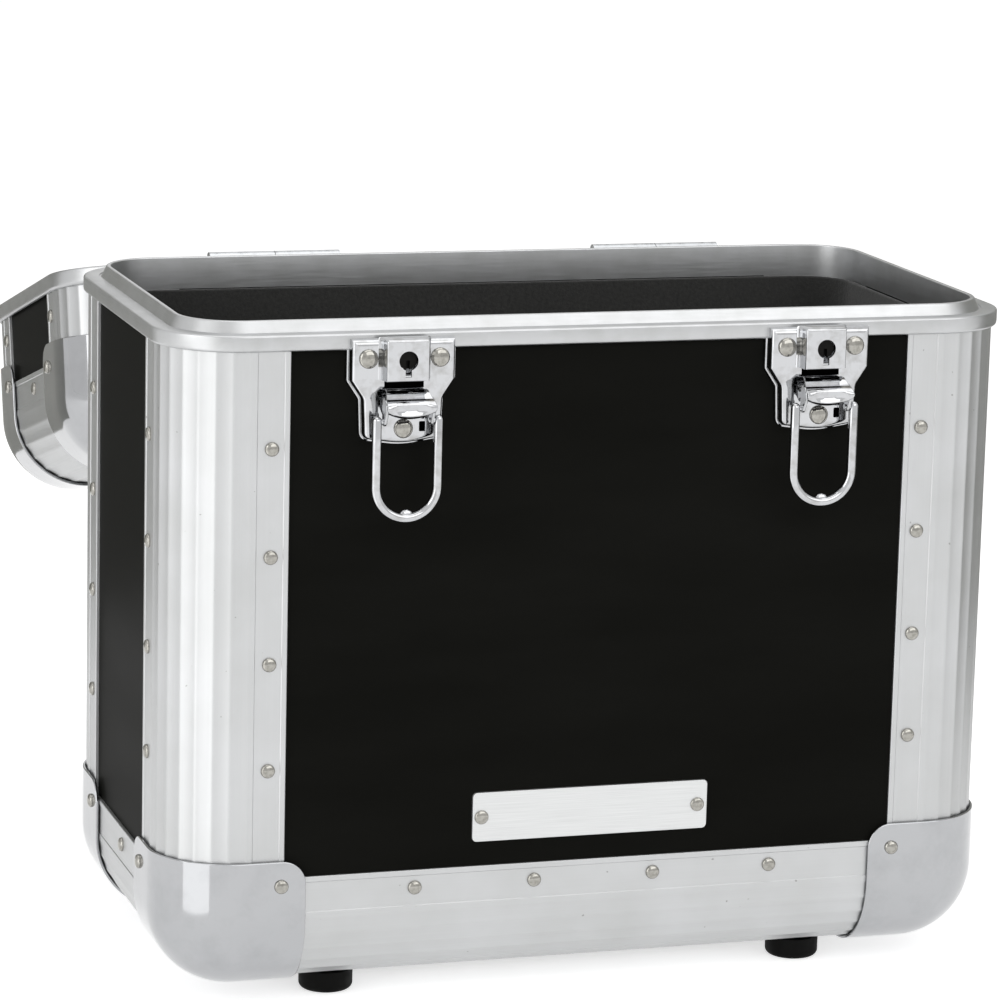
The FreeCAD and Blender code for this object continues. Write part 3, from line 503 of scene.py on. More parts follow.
for place, body, node, wall_top in (
    (body_place, "case_body", "body_lining", body_height - rim_web),
    (lid_place, "lid", "lid_lining", lid_wall_top),
):
    profile = lining_profile(wall_top - felt_below_wall)
    piece(node + "_visual", swept(profile, False, 10), place, body, felt, [node], 50)


def pad_shape(thickness):
    """A crowned sheet of foam: its edge rolls over and it thins a little towards its corners."""
    half_x = half_width - edge_radius - 2
    half_y = half_depth - edge_radius - 2
    floor = felt_inset + felt_thickness
    round_over = min(thickness / 2, 3)
    points = []
    count_x, count_y = 36, 20
    for layer in (1, 0):
        for j in range(count_y + 1):
            for i in range(count_x + 1):
                u = 2 * i / count_x - 1
                v = 2 * j / count_y - 1
                bow_u = math.sin(u * math.pi / 2) * 0.6 + u * 0.4
                bow_v = math.sin(v * math.pi / 2) * 0.6 + v * 0.4
                edge = min(1 - abs(bow_u), (1 - abs(bow_v)) * half_y / half_x) * half_x
                fall = max(0, round_over - edge) / round_over
                drop = round_over * (1 - math.sqrt(max(0, 1 - fall ** 2)))
                dent = 0.25 * math.sin(5 * u + 2 * v) * math.sin(4 * v - u) * (1 - fall)
                level = floor + (thickness - 0.3 - drop + dent if layer else 0.02)
                inward = 1 - 0.004 * fall
                points.append((bow_u * half_x * inward, bow_v * half_y * inward, level))
    row = count_x + 1
    size = row * (count_y + 1)
    faces = grid_faces(count_y, count_x) + grid_faces(count_y, count_x, size)
    border = list(range(row)) + [j * row + count_x for j in range(1, count_y + 1)]
    border += [count_y * row + i for i in range(count_x - 1, -1, -1)]
    border += [j * row for j in range(count_y - 1, 0, -1)]
    for here, ahead in zip(border, border[1:] + border[:1]):
        faces.append((here, ahead, ahead + size, here + size))
    return points, faces


for place, body, node, thickness in (
    (body_place, "case_body", "body_base_pad", 6), (lid_place, "lid", "lid_pad", 12),
):
    pad = piece(node + "_visual", pad_shape(thickness), place, body, felt, [node], 60)


# Feet
# Four black rubber feet screwed up through the case's base: turned shapes with a soft edge and a deep dimple
# that keeps the screw off the table.

def ring_faces(rings, count):
    """The faces between rings of points, and a cap over each end."""
    faces = []
    for low in range(0, (rings - 1) * count, count):
        for step in range(count):
            ahead = (step + 1) % count
            faces.append((low + step, low + ahead, low + count + ahead, low + count + step))
    return faces + [tuple(range(count)), tuple(range((rings - 1) * count, rings * count))]


def turned(profile, count=40):
    """Turns (radius, height) points about Z. The ends lie on the axis or are capped."""
    points = []
    for radius, height in profile:
        for step in range(count):
            turn = 2 * math.pi * step / count
            points.append((radius * math.cos(turn), radius * math.sin(turn), height))
    return points, ring_faces(len(profile), count)


# Moulded rubber: black, dull, slightly dusty in patches.
rubber, tree, shader, own = started("moulded_black_rubber")
grit = add(tree, "TexNoise", {"Vector": own, "Scale": 900, "Detail": 3}).outputs["Fac"]
dust = add(tree, "TexNoise", {"Vector": own, "Scale": 150, "Detail": 4}).outputs["Fac"]
feed(tree, shader, {
    "Base Color": toned(tree, dust, 0.5, 0.75, "#0b0b0a", "#131312"),
    "Roughness": ramp(tree, dust, 0.4, 0.7, 0.5, 0.75), "Specular IOR Level": 0.08,
    "Normal": add(tree, "Bump", {"Height": grit, "Strength": 0.2, "Distance": 0.0001}).outputs["Normal"],
})

foot_radius = 11.5
foot_round = 2.4
foot_side = foot_height - foot_round
dimple_depth = 4.8
dimple_roof = dimple_depth - foot_height
foot_profile = [(0, 0), (foot_radius, 0), (foot_radius, -foot_side)]
foot_profile += arc((foot_radius - foot_round, -foot_side), foot_round, 0, -90, 7)
foot_profile += [(5.2, -foot_height), (4.8, 0.4 - foot_height), (4.6, dimple_roof), (0, dimple_roof)]
foot_x = 105.5
foot_y = 60
feet = []
screws = []
for x in (-foot_x, foot_x):
    for y in (-foot_y, foot_y):
        feet.append(moved(turned(foot_profile), Matrix.Translation((x, y, 0))))
        screws.append((x, y))
piece("feet_visual", joined(feet), body_place, "case_body", rubber, ["feet"], 35)


# Rivets and foot screws
# Steel rivets with low domed heads, nickel plated, hold the bars and ball corners to the panels, in rows that
# keep an even pitch. Larger ones hold the latches. Each foot's screw has a low head with a round recess.

def head_shape(radius, height, point, normal):
    """A domed head seated on a point, with a short straight edge under the dome."""
    edge = height * 0.22
    profile = [(radius * 0.97, -0.25), (radius, 0), (radius, edge)]
    for step in range(1, 8):
        turn = math.radians(90 * step / 8)
        profile.append((radius * math.cos(turn), edge + (height - edge) * math.sin(turn)))
    profile.append((radius * 0.02, height))
    aim = Vector(normal).to_track_quat("Z", "X").to_matrix().to_4x4()
    return moved(turned(profile, 20), Matrix.Translation(point) @ aim)


# Nickel plate on steel: bright and neutral, a mirror with slight wear.
nickel, tree, shader, own = started("bright_nickel_plate")
worn = add(tree, "TexNoise", {"Vector": own, "Scale": 240, "Detail": 4}).outputs["Fac"]
ripple = add(tree, "TexNoise", {"Vector": own, "Scale": 120, "Detail": 1}).outputs["Fac"]
feed(tree, shader, {
    "Base Color": toned(tree, worn, 0.45, 0.7, "#babbbd", "#a8a8a8"), "Metallic": 1,
    "Roughness": ramp(tree, worn, 0.4, 0.75, 0.04, 0.12),
    "Normal": add(tree, "Bump", {"Height": ripple, "Strength": 0.06, "Distance": 0.0002}).outputs["Normal"],
})

# Rivet heads are duller than the latches: zinc and nickel, rubbed by years of handling.
rivet_steel, tree, shader, own = started("worn_nickel_rivets")
grain = add(tree, "TexNoise", {"Vector": own, "Scale": 700, "Detail": 3}).outputs["Fac"]
feed(tree, shader, {
    "Base Color": toned(tree, grain, 0.4, 0.7, "#a3a19b", "#8b8983"), "Metallic": 1,
    "Roughness": ramp(tree, grain, 0.4, 0.7, 0.07, 0.14),
})

rivet_radius = 3
rivet_height = 1.8
leg_line_in = 41.5
ball_line_in = 47.5
lowest_rivet = 96.6
rivet_pitch = 44.7
base_rivet_line = (-77.4, -25.3, 27.2, 79.6)
base_rivet_level = 43
end_rivet_y = -7
lid_rivet_level = 70


def riveted(name, heads, place, body):
    """Rivet heads as one piece of the body that they hold together."""
    piece(name, joined(heads), place, body, rivet_steel, (), 50)


def upright_places(levels):
    """Places up both legs of the four upright bars, on their sunken flats."""
    places = []
    for sign_x in (-1, 1):
        for sign_y in (-1, 1):
            for level in levels:
                x = sign_x * (half_width - leg_line_in)
                y = sign_y * (half_depth - leg_line_in)
                out_x = sign_x * (half_width - bar_flat_drop)
                out_y = sign_y * (half_depth - bar_flat_drop)
                places.append(((x, out_y, level), (0, sign_y, 0)))
                places.append(((out_x, y, level), (sign_x, 0, 0)))
    return places


def base_places(level, under, side_y):
    """Places along the bars round a tray's closed side: four at front and rear, one at each end."""
    places = []
    for sign in (-1, 1):
        for x in base_rivet_line:
            places.append(((x, sign * (half_depth - bar_flat_drop), level), (0, sign, 0)))
            places.append(((x, sign * (half_depth - under), bar_flat_drop), (0, 0, -1)))
        places.append(((sign * (half_width - bar_flat_drop), side_y, level), (sign, 0, 0)))
        places.append(((sign * (half_width - under), side_y, bar_flat_drop), (0, 0, -1)))
    return places


def ball_places():
    places = []
    for sign_x in (-1, 1):
        for sign_y in (-1, 1):
            x = sign_x * (half_width - ball_line_in)
            y = sign_y * (half_depth - ball_line_in)
            places.append(((x, sign_y * (half_depth + ball_out), ball_line_in), (0, sign_y, 0)))
            places.append(((sign_x * (half_width + ball_out), y, ball_line_in), (sign_x, 0, 0)))
            places.append(((x, y, -ball_out), (0, 0, -1)))
    return places


rivet_levels = [lowest_rivet + rivet_pitch * step for step in range(4)]
for name, places, place, body in (
    ("upright_bar_rivets", upright_places(rivet_levels), body_place, "case_body"),
    ("base_bar_rivets", base_places(base_rivet_level, leg_line_in, end_rivet_y), body_place, "case_body"),
    ("ball_corner_rivets", ball_places(), body_place, "case_body"),
    ("lid_upright_bar_rivets", upright_places([lid_rivet_level]), lid_place, "lid"),
    ("lid_edge_bar_rivets", base_places(leg_line_in, leg_line_in, end_rivet_y), lid_place, "lid"),
    ("lid_ball_corner_rivets", ball_places(), lid_place, "lid"),
):
    heads = [head_shape(rivet_radius, rivet_height, point, normal) for point, normal in places]
    riveted(name, heads, place, body)

head = [(4.2, -4.2), (4.2, -5), (3.4, -5.9), (1.2, -6.2), (1, -5.2), (0.05, -5.2)]
screw_heads = [moved(turned(head, 20), Matrix.Translation((x, y, 0))) for x, y in screws]
piece("foot_screws", joined(screw_heads), body_place, "case_body", rivet_steel, (), 30)


# Name plate
# A thin aluminium plate with rounded corners and a turned edge, riveted to the front panel. It is left bare.

def drawn_in(corners, radii, distance):
    """An anticlockwise outline drawn in by a distance: its corners and what their radii become."""
    made, rounds = [], []
    for index, here in enumerate(corners):
        here = Vector(here)
        before = (here - Vector(corners[index - 1])).normalized()
        after = (Vector(corners[(index + 1) % len(corners)]) - here).normalized()
        side = Vector((-after.y, after.x))
        mean = (Vector((-before.y, before.x)) + side).normalized()
        made.append(tuple(here + mean * distance / mean.dot(side)))
        hollow = before.cross(after) < 0
        rounds.append(max(0.05, radii[index] + (distance if hollow else -distance)) if radii[index] else 0)
    return made, rounds


def pressed(corners, radii, levels, holes=(), between=None):
    """A pressing seen from the front: rings of (inset, outward) levels closed by a face with holes in it.

    Between two levels of z its rings are cut off square, and it is open below. A last ring just inside
    keeps its face flat.
    """
    points, faces = [], []
    levels = levels + [(levels[-1][0] + 0.3, levels[-1][1])]
    for inset, outward in levels:
        ring = rounded(*drawn_in(corners, radii, inset))
        for x, z in ring:
            points.append((x, -outward, min(max(z, between[0]), between[1]) if between else z))
    count = len(points) // len(levels)
    for level in range(len(levels) - 1):
        low = level * count
        for index in range(count):
            ahead = (index + 1) % count
            if between and max(points[low + index][2], points[low + ahead][2]) < between[0] + 0.01:
                continue
            faces.append((low + index, low + ahead, low + count + ahead, low + count + index))
    loops = [[Vector((x, z, 0)) for x, _, z in points[-count:]]]
    loops += [[Vector((x, z, 0)) for x, z in hole] for hole in holes]
    base = len(points) - count
    for hole in holes:
        points += [(x, -levels[-1][1], z) for x, z in hole]
    faces += [tuple(base + index for index in face) for face in tessellate_polygon(loops)]
    return points, faces


# Aluminium plate with a fine brushing along its length: paler and flatter than the bars.
plate_finish, tree, shader, own = started("brushed_plate_aluminium")
brushed = add(tree, "Mapping", {"Vector": own, "Scale": (40, 1, 3000)}).outputs["Vector"]
hair = add(tree, "TexNoise", {"Vector": brushed, "Scale": 1, "Detail": 3}).outputs["Fac"]
feed(tree, shader, {
    "Base Color": toned(tree, hair, 0.3, 0.7, "#d3d4d4", "#c9caca"), "Metallic": 1,
    "Roughness": ramp(tree, hair, 0.3, 0.7, 0.36, 0.5),
    "Normal": add(tree, "Bump", {"Height": hair, "Strength": 0.1, "Distance": 0.00005}).outputs["Normal"],
})

plate_middle = (-1.1, 71.5)
plate_half_width = 51.8
plate_half_height = 10.6
plate_rivet_line = (-47.9, 47.4)
plate_corners = [
    (plate_middle[0] + across * plate_half_width, plate_middle[1] + up * plate_half_height)
    for across, up in ((-1, -1), (1, -1), (1, 1), (-1, 1))
]
front_face = at(0, -half_depth, 0)
piece(
    "name_plate_visual", pressed(plate_corners, [2] * 4, [(0, -1.4), (0, -0.55), (0.12, -0.3), (0.4, -0.2)]),
    body_place @ front_face, "case_body", plate_finish, ["name_plate"],
)
plate_heads = [
    head_shape(3, 1.4, (plate_middle[0] + x, 0.2, plate_middle[1]), (0, -1, 0)) for x in plate_rivet_line
]
riveted("name_plate_rivets", plate_heads, body_place @ front_face, "case_body")


# Latches
# Two lockable draw latches on the front. Each has a pressed base with soft edges, a raised lock case with a
# keyhole, a lever whose lip curls outward between two arms, and a wire bail with a nub, all nickel plated.

latch_top = 276.5
latch_centres = {"left": -88, "right": 92}
latch_corners = [
    (-23, latch_top), (-23, latch_top - 18.5), (-18, latch_top - 26), (-17.3, latch_top - 43),
    (0, latch_top - 45.6), (17.3, latch_top - 43), (18, latch_top - 26), (23, latch_top - 18.5),
    (23, latch_top),
]
latch_rounds = [0.8, 2.5, 3, 4, 40, 4, 3, 2.5, 0.8]
lock_bottom = latch_top - 17.5


def oblong(left, low, right, high):
    """The four corners of an upright opening."""
    return [(left, low), (right, low), (right, high), (left, high)]


slot_hole = oblong(-8.3, lock_bottom - 3.6, 8.3, lock_bottom - 0.3)
window_hole = rounded(oblong(6.6, latch_top - 39.2, 9.2, latch_top - 35), [0.5] * 4, 3)
base_levels = [
    (0, -1.4), (0, 0.9), (0.25, 1.25), (0.8, 1.35), (1.05, 1.7), (1.2, 3.7), (1.5, 4.9), (2.2, 5.65),
    (3, 5.95), (3.6, 6),
]
keyhole_level = latch_top - 9.1
keyhole = arc((0, keyhole_level), 4, -71, 251, 26)
keyhole += [(-1.3, keyhole_level - 6.7), (1.3, keyhole_level - 6.7)]
lock_corners = oblong(-8.8, lock_bottom, 8.8, latch_top - 0.6)
lock_levels = [(-2.2, 5.9), (-1.2, 7), (-0.6, 9), (-0.2, 11.6), (0.1, 12.25), (0.5, 12.5)]

latch_rivet_places = [(-15, 267.6), (15, 267.6), (0, 238.7)]

lever_pivot = (13.5, latch_top - 26)
lever_half = 10.4
bail_level = latch_top - 33.5
bail_out = 12.5
bail_half = 12.9
wire_radius = 2


def lever_lip():
    """The lever's sheet: a flat slope from the slot to a crease, then a roll with a thumb dish under it."""
    pin_out, pin_up = lever_pivot
    line = [
        (-5.2, 5, 8.6), (-2.4, 4.8, 8.8), (-0.5, 3.4, 9.3), (1.5, 1.9, 9.8), (2.2, 1.6, 10), (3.7, 1.1, 10.2),
        (5.1, 0.1, 10.3), (6.1, -1.1, 10.3), (6.4, -2.3, 10.3), (6.1, -3.5, 10.2), (5.2, -4.7, 10.1),
        (4, -5.6, 9.9), (2.8, -6.2, 9.7),
    ]
    points = []
    columns = 20
    for outward, up, half in line:
        fall = max(0, min(1, (0.5 - up) / 6.7))
        for column in range(columns + 1):
            across = 2 * column / columns - 1
            dish = 2.5 * (1 - across ** 2) * math.sin(math.pi * min(1, fall * 1.15)) ** 2
            rise = 2.2 * fall * across ** 2
            points.append((across * half, -(pin_out + outward - dish), pin_up + up + rise))
    return points, grid_faces(len(line) - 1, columns)


def lever_arm_outline():
    """An arm from above the lever's pin to round the bail's stub, as (outward, up) points."""
    out, up = lever_pivot
    points = [
        (out - 2, up + 1), (out - 0.6, up + 2.4), (out + 1.6, up + 1.6), (out + 4, up - 0.2),
        (out + 4.4, up - 2.6), (bail_out + 1.8, bail_level - 0.9), (bail_out + 0.9, bail_level - 1.8),
        (bail_out - 0.9, bail_level - 1.8), (bail_out - 1.8, bail_level - 0.9),
    ]
    return rounded(points, [0.6, 0.9, 0.9, 1.2, 1.5, 0.7, 0.7, 0.7, 0.7], 3)


def on_side(outline, start, end):
    """An outline of (outward, up) points drawn out along X."""
    upright = Matrix(((0, 0, 1, 0), (-1, 0, 0, 0), (0, 1, 0, 0), (0, 0, 0, 1)))
    return moved(extruded(outline, start, end), upright)


def wire(path, radius, count=18):
    """A round wire along (x, z) points in one upright plane, its ends domed."""
    points, rings = [], []
    for index, here in enumerate(path):
        here = Vector(here)
        back = Vector(path[max(index - 1, 0)])
        ahead = Vector(path[min(index + 1, len(path) - 1)])
        along = (ahead - back).normalized()
        rings.append((here, along, radius))
    first, last = rings[0], rings[-1]
    ends = [(0.35, 0.92), (0.7, 0.7), (0.95, 0.3)]
    rings = (
        [(first[0] - first[1] * radius * out, first[1], radius * wide) for out, wide in reversed(ends)]
        + rings
        + [(last[0] + last[1] * radius * out, last[1], radius * wide) for out, wide in ends]
    )
    for here, along, wide in rings:
        side = Vector((along.y, -along.x))
        for step in range(count):
            turn = 2 * math.pi * step / count
            spot = here + side * wide * math.cos(turn)
            points.append((spot.x, wide * math.sin(turn), spot.y))
    return points, ring_faces(len(rings), count)


def bail_shape():
    """The bail: stubs through the lever's arms, straight legs, a half round and a rounded nub inside it."""
    leg = 40 - bail_half
    bend = bail_level - leg
    path = [(-bail_half, bail_level + 0.3), (-bail_half, bend + leg * 0.5)]
    path += arc((0, bend), bail_half, 180, 360, 32)
    path += [(bail_half, bend + leg * 0.5), (bail_half, bail_level + 0.3)]
    loop = moved(wire(path, wire_radius), Matrix.Translation((0, -bail_out, 0)))
    nub_line = [(3, -0.6), (3, 1), (2.8, 1.9), (2.2, 2.8), (1.2, 3.4), (0.1, 3.6)]
    flat = Matrix.Diagonal((1, 0.45, 1, 1))
    nub = moved(turned(nub_line, 24), Matrix.Translation((0, -bail_out, bend - bail_half)) @ flat)
    stubs = []
    for sign in (-1, 1):
        pin = turned([(1.1, 0), (1.1, 4.2)], 18)
        aim = Matrix.Translation((sign * 8.7, -bail_out, bail_level)) @ turned_by(sign * 90, "Y")
        stubs.append(moved(pin, aim))
    return joined([loop, nub] + stubs)


for side, centre in latch_centres.items():
    place = body_place @ at(centre, -half_depth, 0)
    shape = pressed(latch_corners, latch_rounds, base_levels, [slot_hole, window_hole])
    base = piece(
        "latch_base_visual_" + side, shape, place, "case_body", nickel,
        ["latch_base_" + side], 40,
    )
    thickened(base, 1.1)
    raised = pressed(lock_corners, [0, 0, 0.8, 0.8], lock_levels, [keyhole], (lock_bottom, latch_top))
    lock = piece(
        "lock_case_visual_" + side, raised, place, "case_body", nickel,
        ["lock_case_" + side], 40,
    )
    thickened(lock, 1)
    heads = [head_shape(4, 2.1, (x, -6, z), (0, -1, 0)) for x, z in latch_rivet_places]
    riveted("latch_rivets_" + side, heads, place, "case_body")
    arms = [on_side(lever_arm_outline(), sign * lever_half, sign * (lever_half - 1.2)) for sign in (-1, 1)]
    lever = piece(
        "latch_lever_visual_" + side, lever_lip(), place, "lever_" + side, nickel,
        ["latch_lever_" + side], 60,
    )
    thickened(lever, 1)
    bevelled(lever, 0.25, 2, 50)
    sides = piece("latch_lever_arms_" + side, joined(arms), place, "lever_" + side, nickel)
    bevelled(sides, 0.25)
    piece(
        "latch_bail_visual_" + side, bail_shape(), place, "bail_" + side, nickel,
        ["latch_bail_" + side], 50,
    )
    dress("lever_pin_" + side, nickel)
dress("lever_lugs", nickel)

# The lock's barrel behind the keyhole is brass painted nearly black, dull and not metallic: painted shade for
# the dark inside of the keyhole, with a faint scuffed tone.
barrel, tree, shader, own = started("lock_barrel_painted_shade")
scuff = add(tree, "TexNoise", {"Vector": own, "Scale": 500, "Detail": 3}).outputs["Fac"]
feed(tree, shader, {
    # The near-black base colour is painted shade inside the keyhole, not the brass's own colour.
    "Base Color": toned(tree, scuff, 0.4, 0.7, "#0d0c0b", "#151412"), "Specular IOR Level": 0.1,
    "Roughness": ramp(tree, scuff, 0.4, 0.7, 0.5, 0.65),
})
dress("key_cylinders", barrel)


# Lid catches
# A pressed plate over each latch on the lid's front, with a narrow upturned hook that the bail's nub bears
# on. They are drawn where they are with the lid closed and carried round with it.

opened = (
    Matrix.Translation(hinge_line) @ Matrix.Rotation(-math.pi - lid_lean, 4, "X")
    @ Matrix.Translation(-hinge_line)
)
catch_foot = body_height + 3.1
catch_rivet_level = catch_foot + 16
catch_levels = [(0, -1.4), (0, 4.4), (0.25, 5.1), (0.8, 5.7), (1.5, 6)]
catch_corners = [
    (-14, catch_foot), (14, catch_foot), (14, catch_foot + 17), (9, catch_foot + 23), (-9, catch_foot + 23),
    (-14, catch_foot + 17),
]
hook_outline = [
    (4.8, 277.8), (17.4, 277.8), (17.7, 278.1), (17.7, 284), (16.5, 284), (16.5, 279), (6, 279), (6, 283),
    (4.8, 283),
]
for side, centre in latch_centres.items():
    place = opened @ body_place @ at(centre, -half_depth, 0)
    plate = pressed(catch_corners, [1, 1, 3, 2, 2, 3], catch_levels)
    piece(
        "lid_catch_visual_" + side, joined([plate, on_side(hook_outline, -3, 3)]), place, "lid", nickel,
        ["lid_catch_" + side], 32,
    )
    heads = [head_shape(3, 1.4, (x, -6, catch_rivet_level), (0, -1, 0)) for x in (-8, 8)]
    riveted("lid_catch_rivets_" + side, heads, place, "lid")


# Hinges
# Two take-apart hinges behind the case: a cranked leaf on the body and one on the lid share a loose pin.
# The leaves are stamped from zinc-plated strip and riveted through the panels.

# Bright zinc plate: greyer and duller than nickel, with the faint spangle of the bath.
zinc, tree, shader, own = started("zinc_plated_strip")
spangle = add(tree, "TexVoronoi", {"Vector": own, "Scale": 320}).outputs["Distance"]
feed(tree, shader, {
    "Base Color": toned(tree, spangle, 0.1, 0.6, "#aeb0b2", "#c2c4c6"), "Metallic": 1,
    "Roughness": ramp(tree, spangle, 0.1, 0.6, 0.24, 0.36),
})

for node in ("body_hinge_leaves", "lid_hinge_leaves", "hinge_pins"):
    dress(node, zinc)
pin_level = 277.6
leaf_rivets_off_pin = 28
hinge_middle = 90
leaf_rivet_pitch = 20
for name, place, body, level in (
    ("body_hinge_rivets", body_place, "case_body", pin_level - leaf_rivets_off_pin),
    ("lid_hinge_rivets", opened @ body_place, "lid", pin_level + leaf_rivets_off_pin),
):
    heads = []
    for hinge in (-hinge_middle, hinge_middle):
        for x in (hinge - leaf_rivet_pitch, hinge, hinge + leaf_rivet_pitch):
            heads.append(head_shape(rivet_radius, rivet_height, (x, half_depth + 0.1, level), (0, 1, 0)))
    riveted(name, heads, place, body)


# Handle
# A bent steel rod held by two riveted brackets on the lid's top, with a moulded grip whose ribs run round it.
# On the open case it hangs behind.

handle_pivot = Vector((0, 80.158, 162.739)) * mm
handle_place = Matrix.Translation(handle_pivot)
handle_half = 68
handle_bend = 10
handle_drop = 34
rod_path = [(-handle_half, 2.5), (-handle_half, -12)]
rod_path += arc((handle_bend - handle_half, handle_bend - handle_drop), handle_bend, 180, 270, 10)
rod_path += [(0, -handle_drop)]
rod_path += arc((handle_half - handle_bend, handle_bend - handle_drop), handle_bend, 270, 360, 10)
rod_path += [(handle_half, -12), (handle_half, 2.5)]
journals = []
for sign in (-1, 1):
    aim = Matrix.Translation((sign * handle_half, 0, 0)) @ turned_by(sign * 90, "Y")
    journals.append(moved(turned([(2.5, 0), (2.5, 11.4), (2.2, 11.7), (0.1, 11.8)], 20), aim))
piece(
    "handle_rod_visual", joined([wire(rod_path, 3.5)] + journals), handle_place, "handle", nickel,
    ["handle_rod"], 50,
)

# Moulded grip: black plastic with a fine leather-like grain, dull on its ribs.
grip_black, tree, shader, own = started("grained_black_plastic")
leather = add(tree, "TexVoronoi", {"Vector": own, "Scale": 900}, feature="SMOOTH_F1").outputs["Distance"]
hand = add(tree, "TexNoise", {"Vector": own, "Scale": 70, "Detail": 3}).outputs["Fac"]
feed(tree, shader, {
    "Base Color": toned(tree, hand, 0.35, 0.7, "#171716", "#21211f"),
    "Roughness": ramp(tree, hand, 0.35, 0.7, 0.42, 0.58), "Specular IOR Level": 0.4,
    "Normal": add(tree, "Bump", {"Height": leather, "Strength": 0.3, "Distance": 0.0002}).outputs["Normal"],
})

grip_half = 55
grip_bore = 3.6
grip_radius = 11.5
groove_radius = 10.9
grip_round = 3
rib_pitch = 3.6
end_round = grip_half - grip_round
grip_line = [(grip_bore, -grip_half), (8, -grip_half)]
grip_line += arc((grip_radius - grip_round, -end_round), grip_round, 270, 360, 6)
rib = 2 * grip_round - grip_half
while rib < grip_half - 2 * grip_round:
    grip_line += [(grip_radius, rib), (grip_radius, rib + 2.2), (groove_radius, rib + 2.6)]
    grip_line += [(groove_radius, rib + 3.2), (grip_radius, rib + rib_pitch)]
    rib += rib_pitch
grip_line += [(grip_radius, end_round)]
grip_line += arc((grip_radius - grip_round, end_round), grip_round, 0, 90, 6) + [(grip_bore, grip_half)]
grip = moved(turned(grip_line, 36), Matrix.Translation((0, 0, -handle_drop)) @ turned_by(90, "Y"))
piece("handle_grip_visual", grip, handle_place, "handle", grip_black, ["handle_grip"], 40)
bracket_heads = []
for side, sign in (("left", -1), ("right", 1)):
    dress("handle_bracket_" + side, nickel)
    for x in (-11, 11):
        for y in (-8.5, 8.5):
            point = (sign * handle_half + x, y, bar_skin - 1.6)
            bracket_heads.append(head_shape(2.4, 1.2, point, (0, 0, -1)))
riveted("handle_bracket_rivets", bracket_heads, lid_place, "lid")


# Studio
# A plain pale floor and room that show white, under soft lamps at the right front, the left front and above.
# The camera doesn't see two grey cloth screens round the case and a soft box by its left front edge.

def white_seen(tree):
    """1 where the camera, a gloss or a clear piece looks straight at it."""
    path = add(tree, "LightPath").outputs
    seen = path["Is Camera Ray"]
    for ray in ("Is Glossy Ray", "Is Transmission Ray"):
        seen = add(tree, "Math", {0: seen, 1: path[ray]}, operation="MAXIMUM").outputs[0]
    return seen


def stood(name, points, faces, material):
    """A thing of the studio, as one mesh."""
    mesh = bpy.data.meshes.new(name)
    mesh.from_pydata(points, [], faces)
    mesh.materials.append(material)
    made = bpy.data.objects.new(name, mesh)
    bpy.context.scene.collection.objects.link(made)
    return made


def seen_in_gloss(name, foot, low, high, material):
    """An upright sheet over (x, y) points in metres, for gloss: no camera, diffuse or shadow ray meets it."""
    faces = [(2 * k, 2 * k + 2, 2 * k + 3, 2 * k + 1) for k in range(len(foot) - 1)]
    made = stood(name, [(x, y, z) for x, y in foot for z in (low, high)], faces, material)
    made.visible_camera = False
    made.visible_diffuse = False
    made.visible_shadow = False


# What the floor adds to the light that falls on it, so that it shows white.
floor_glow = 0.63
floor_reach = 14
floor_finish, tree, shader = started("pale_studio_floor")[:3]
feed(tree, shader, {
    "Base Color": linear("#e4e4e4"), "Roughness": 0.9, "Specular IOR Level": 0,
    "Emission Color": (1, 1, 1, 1),
    "Emission Strength": add(
        tree, "Math", {0: white_seen(tree), 1: floor_glow}, operation="MULTIPLY",
    ).outputs[0],
})
floor_edge = [(x, y, 0) for x, y in arc((0, 0), floor_reach, 0, 355, 71)]
stood("studio_floor", floor_edge, [tuple(range(len(floor_edge)))], floor_finish)

# The room lights the case at half the strength at which it is seen.
world = bpy.data.worlds.new("studio_room")
world.use_nodes = True
bpy.context.scene.world = world
tree = world.node_tree
feed(tree, tree.nodes["Background"], {
    "Color": (1, 1, 1, 1), "Strength": ramp(tree, white_seen(tree), 0, 1, 0.5, 1),
})

# Bright metal shows the grey cloth between the lamps. The screens stand on a circle, between these degrees.
screen_reach = 0.62
screen_top = 0.6
cloth, tree, shader = started("grey_screen_cloth")[:3]
feed(tree, shader, {"Base Color": linear("#bcbcb7"), "Roughness": 1, "Specular IOR Level": 0})
for name, start, end in (("left_screen", 96, 152), ("right_screen", -25, 80)):
    foot = [
        (screen_reach * math.cos(math.radians(a)), screen_reach * math.sin(math.radians(a)))
        for a in range(start, end + 1, 2)
    ]
    seen_in_gloss(name, foot, 0.004, screen_top, cloth)

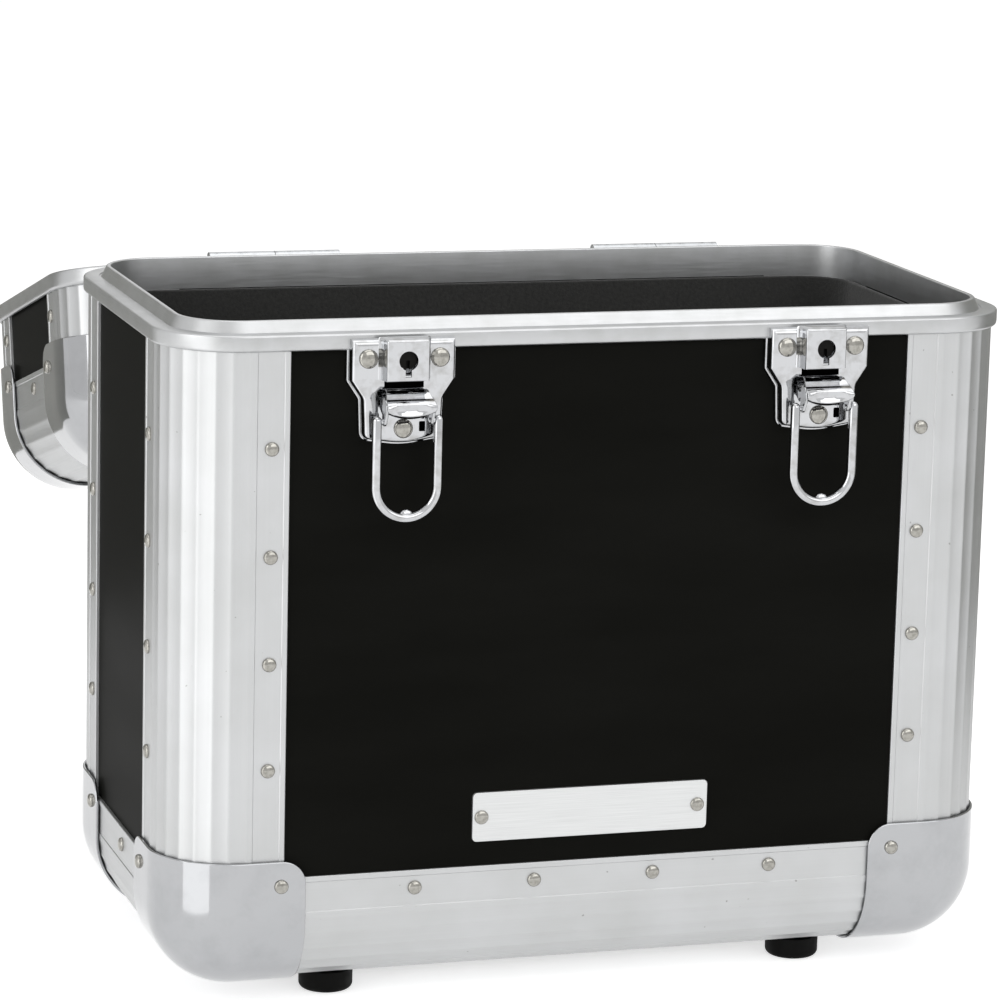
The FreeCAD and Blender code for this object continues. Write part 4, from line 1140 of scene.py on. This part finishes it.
# The soft box makes the bright upright streak in the polished steel.
box_strength = 2
box_foot = [(-0.312, -0.217), (-0.252, -0.304)]
box_glow, tree = started("soft_box_glow")[:2]
lit = add(tree, "Emission", {"Color": (1, 1, 1, 1), "Strength": box_strength}).outputs[0]
feed(tree, tree.nodes["Material Output"], {"Surface": lit})
seen_in_gloss("left_soft_box", box_foot, 0.003, 0.3, box_glow)

case_middle = Vector((0, -0.1, 0.15))
for name, spot, size_x, size_y, power in (
    ("right_front_lamp", (0.8, -2.05, 1.6), 2.6, 1.4, 17),
    ("left_front_lamp", (-2, -1, 0.8), 1.3, 1.8, 15),
    ("top_lamp", (0, -0.2, 2.4), 2, 2, 14),
):
    data = bpy.data.lights.new(name, "AREA")
    data.shape = "RECTANGLE"
    data.size = size_x
    data.size_y = size_y
    data.energy = power
    lamp = bpy.data.objects.new(name, data)
    bpy.context.scene.collection.objects.link(lamp)
    lamp.location = spot
    lamp.rotation_euler = (case_middle - Vector(spot)).to_track_quat("-Z", "Y").to_euler()


# Camera
# Where the photographer stood: left of the case's middle and a little above it, with a long lens.

yaw = math.radians(17.428)
pitch = math.radians(11.552)
roll = math.radians(1.39)
ahead = Vector((math.sin(yaw) * math.cos(pitch), math.cos(yaw) * math.cos(pitch), -math.sin(pitch)))
level_right = Vector((math.cos(yaw), -math.sin(yaw), 0))
level_up = level_right.cross(ahead)
right = level_right * math.cos(roll) + level_up * math.sin(roll)
up = level_up * math.cos(roll) - level_right * math.sin(roll)
standpoint = Vector((-0.5649, -1.8556, 0.5709))
camera_data = bpy.data.cameras.new("camera")
camera_data.lens = 155.72
camera_data.sensor_width = 36
camera_data.shift_x = -0.0012
camera_data.shift_y = -0.0001
camera_data.clip_end = 60
camera = bpy.data.objects.new("camera", camera_data)
bpy.context.scene.collection.objects.link(camera)
camera.matrix_world = Matrix.Translation(standpoint) @ Matrix((
    (right.x, up.x, -ahead.x), (right.y, up.y, -ahead.y), (right.z, up.z, -ahead.z),
)).to_4x4()
bpy.context.scene.camera = camera
bpy.context.scene.view_settings.view_transform = "Standard"
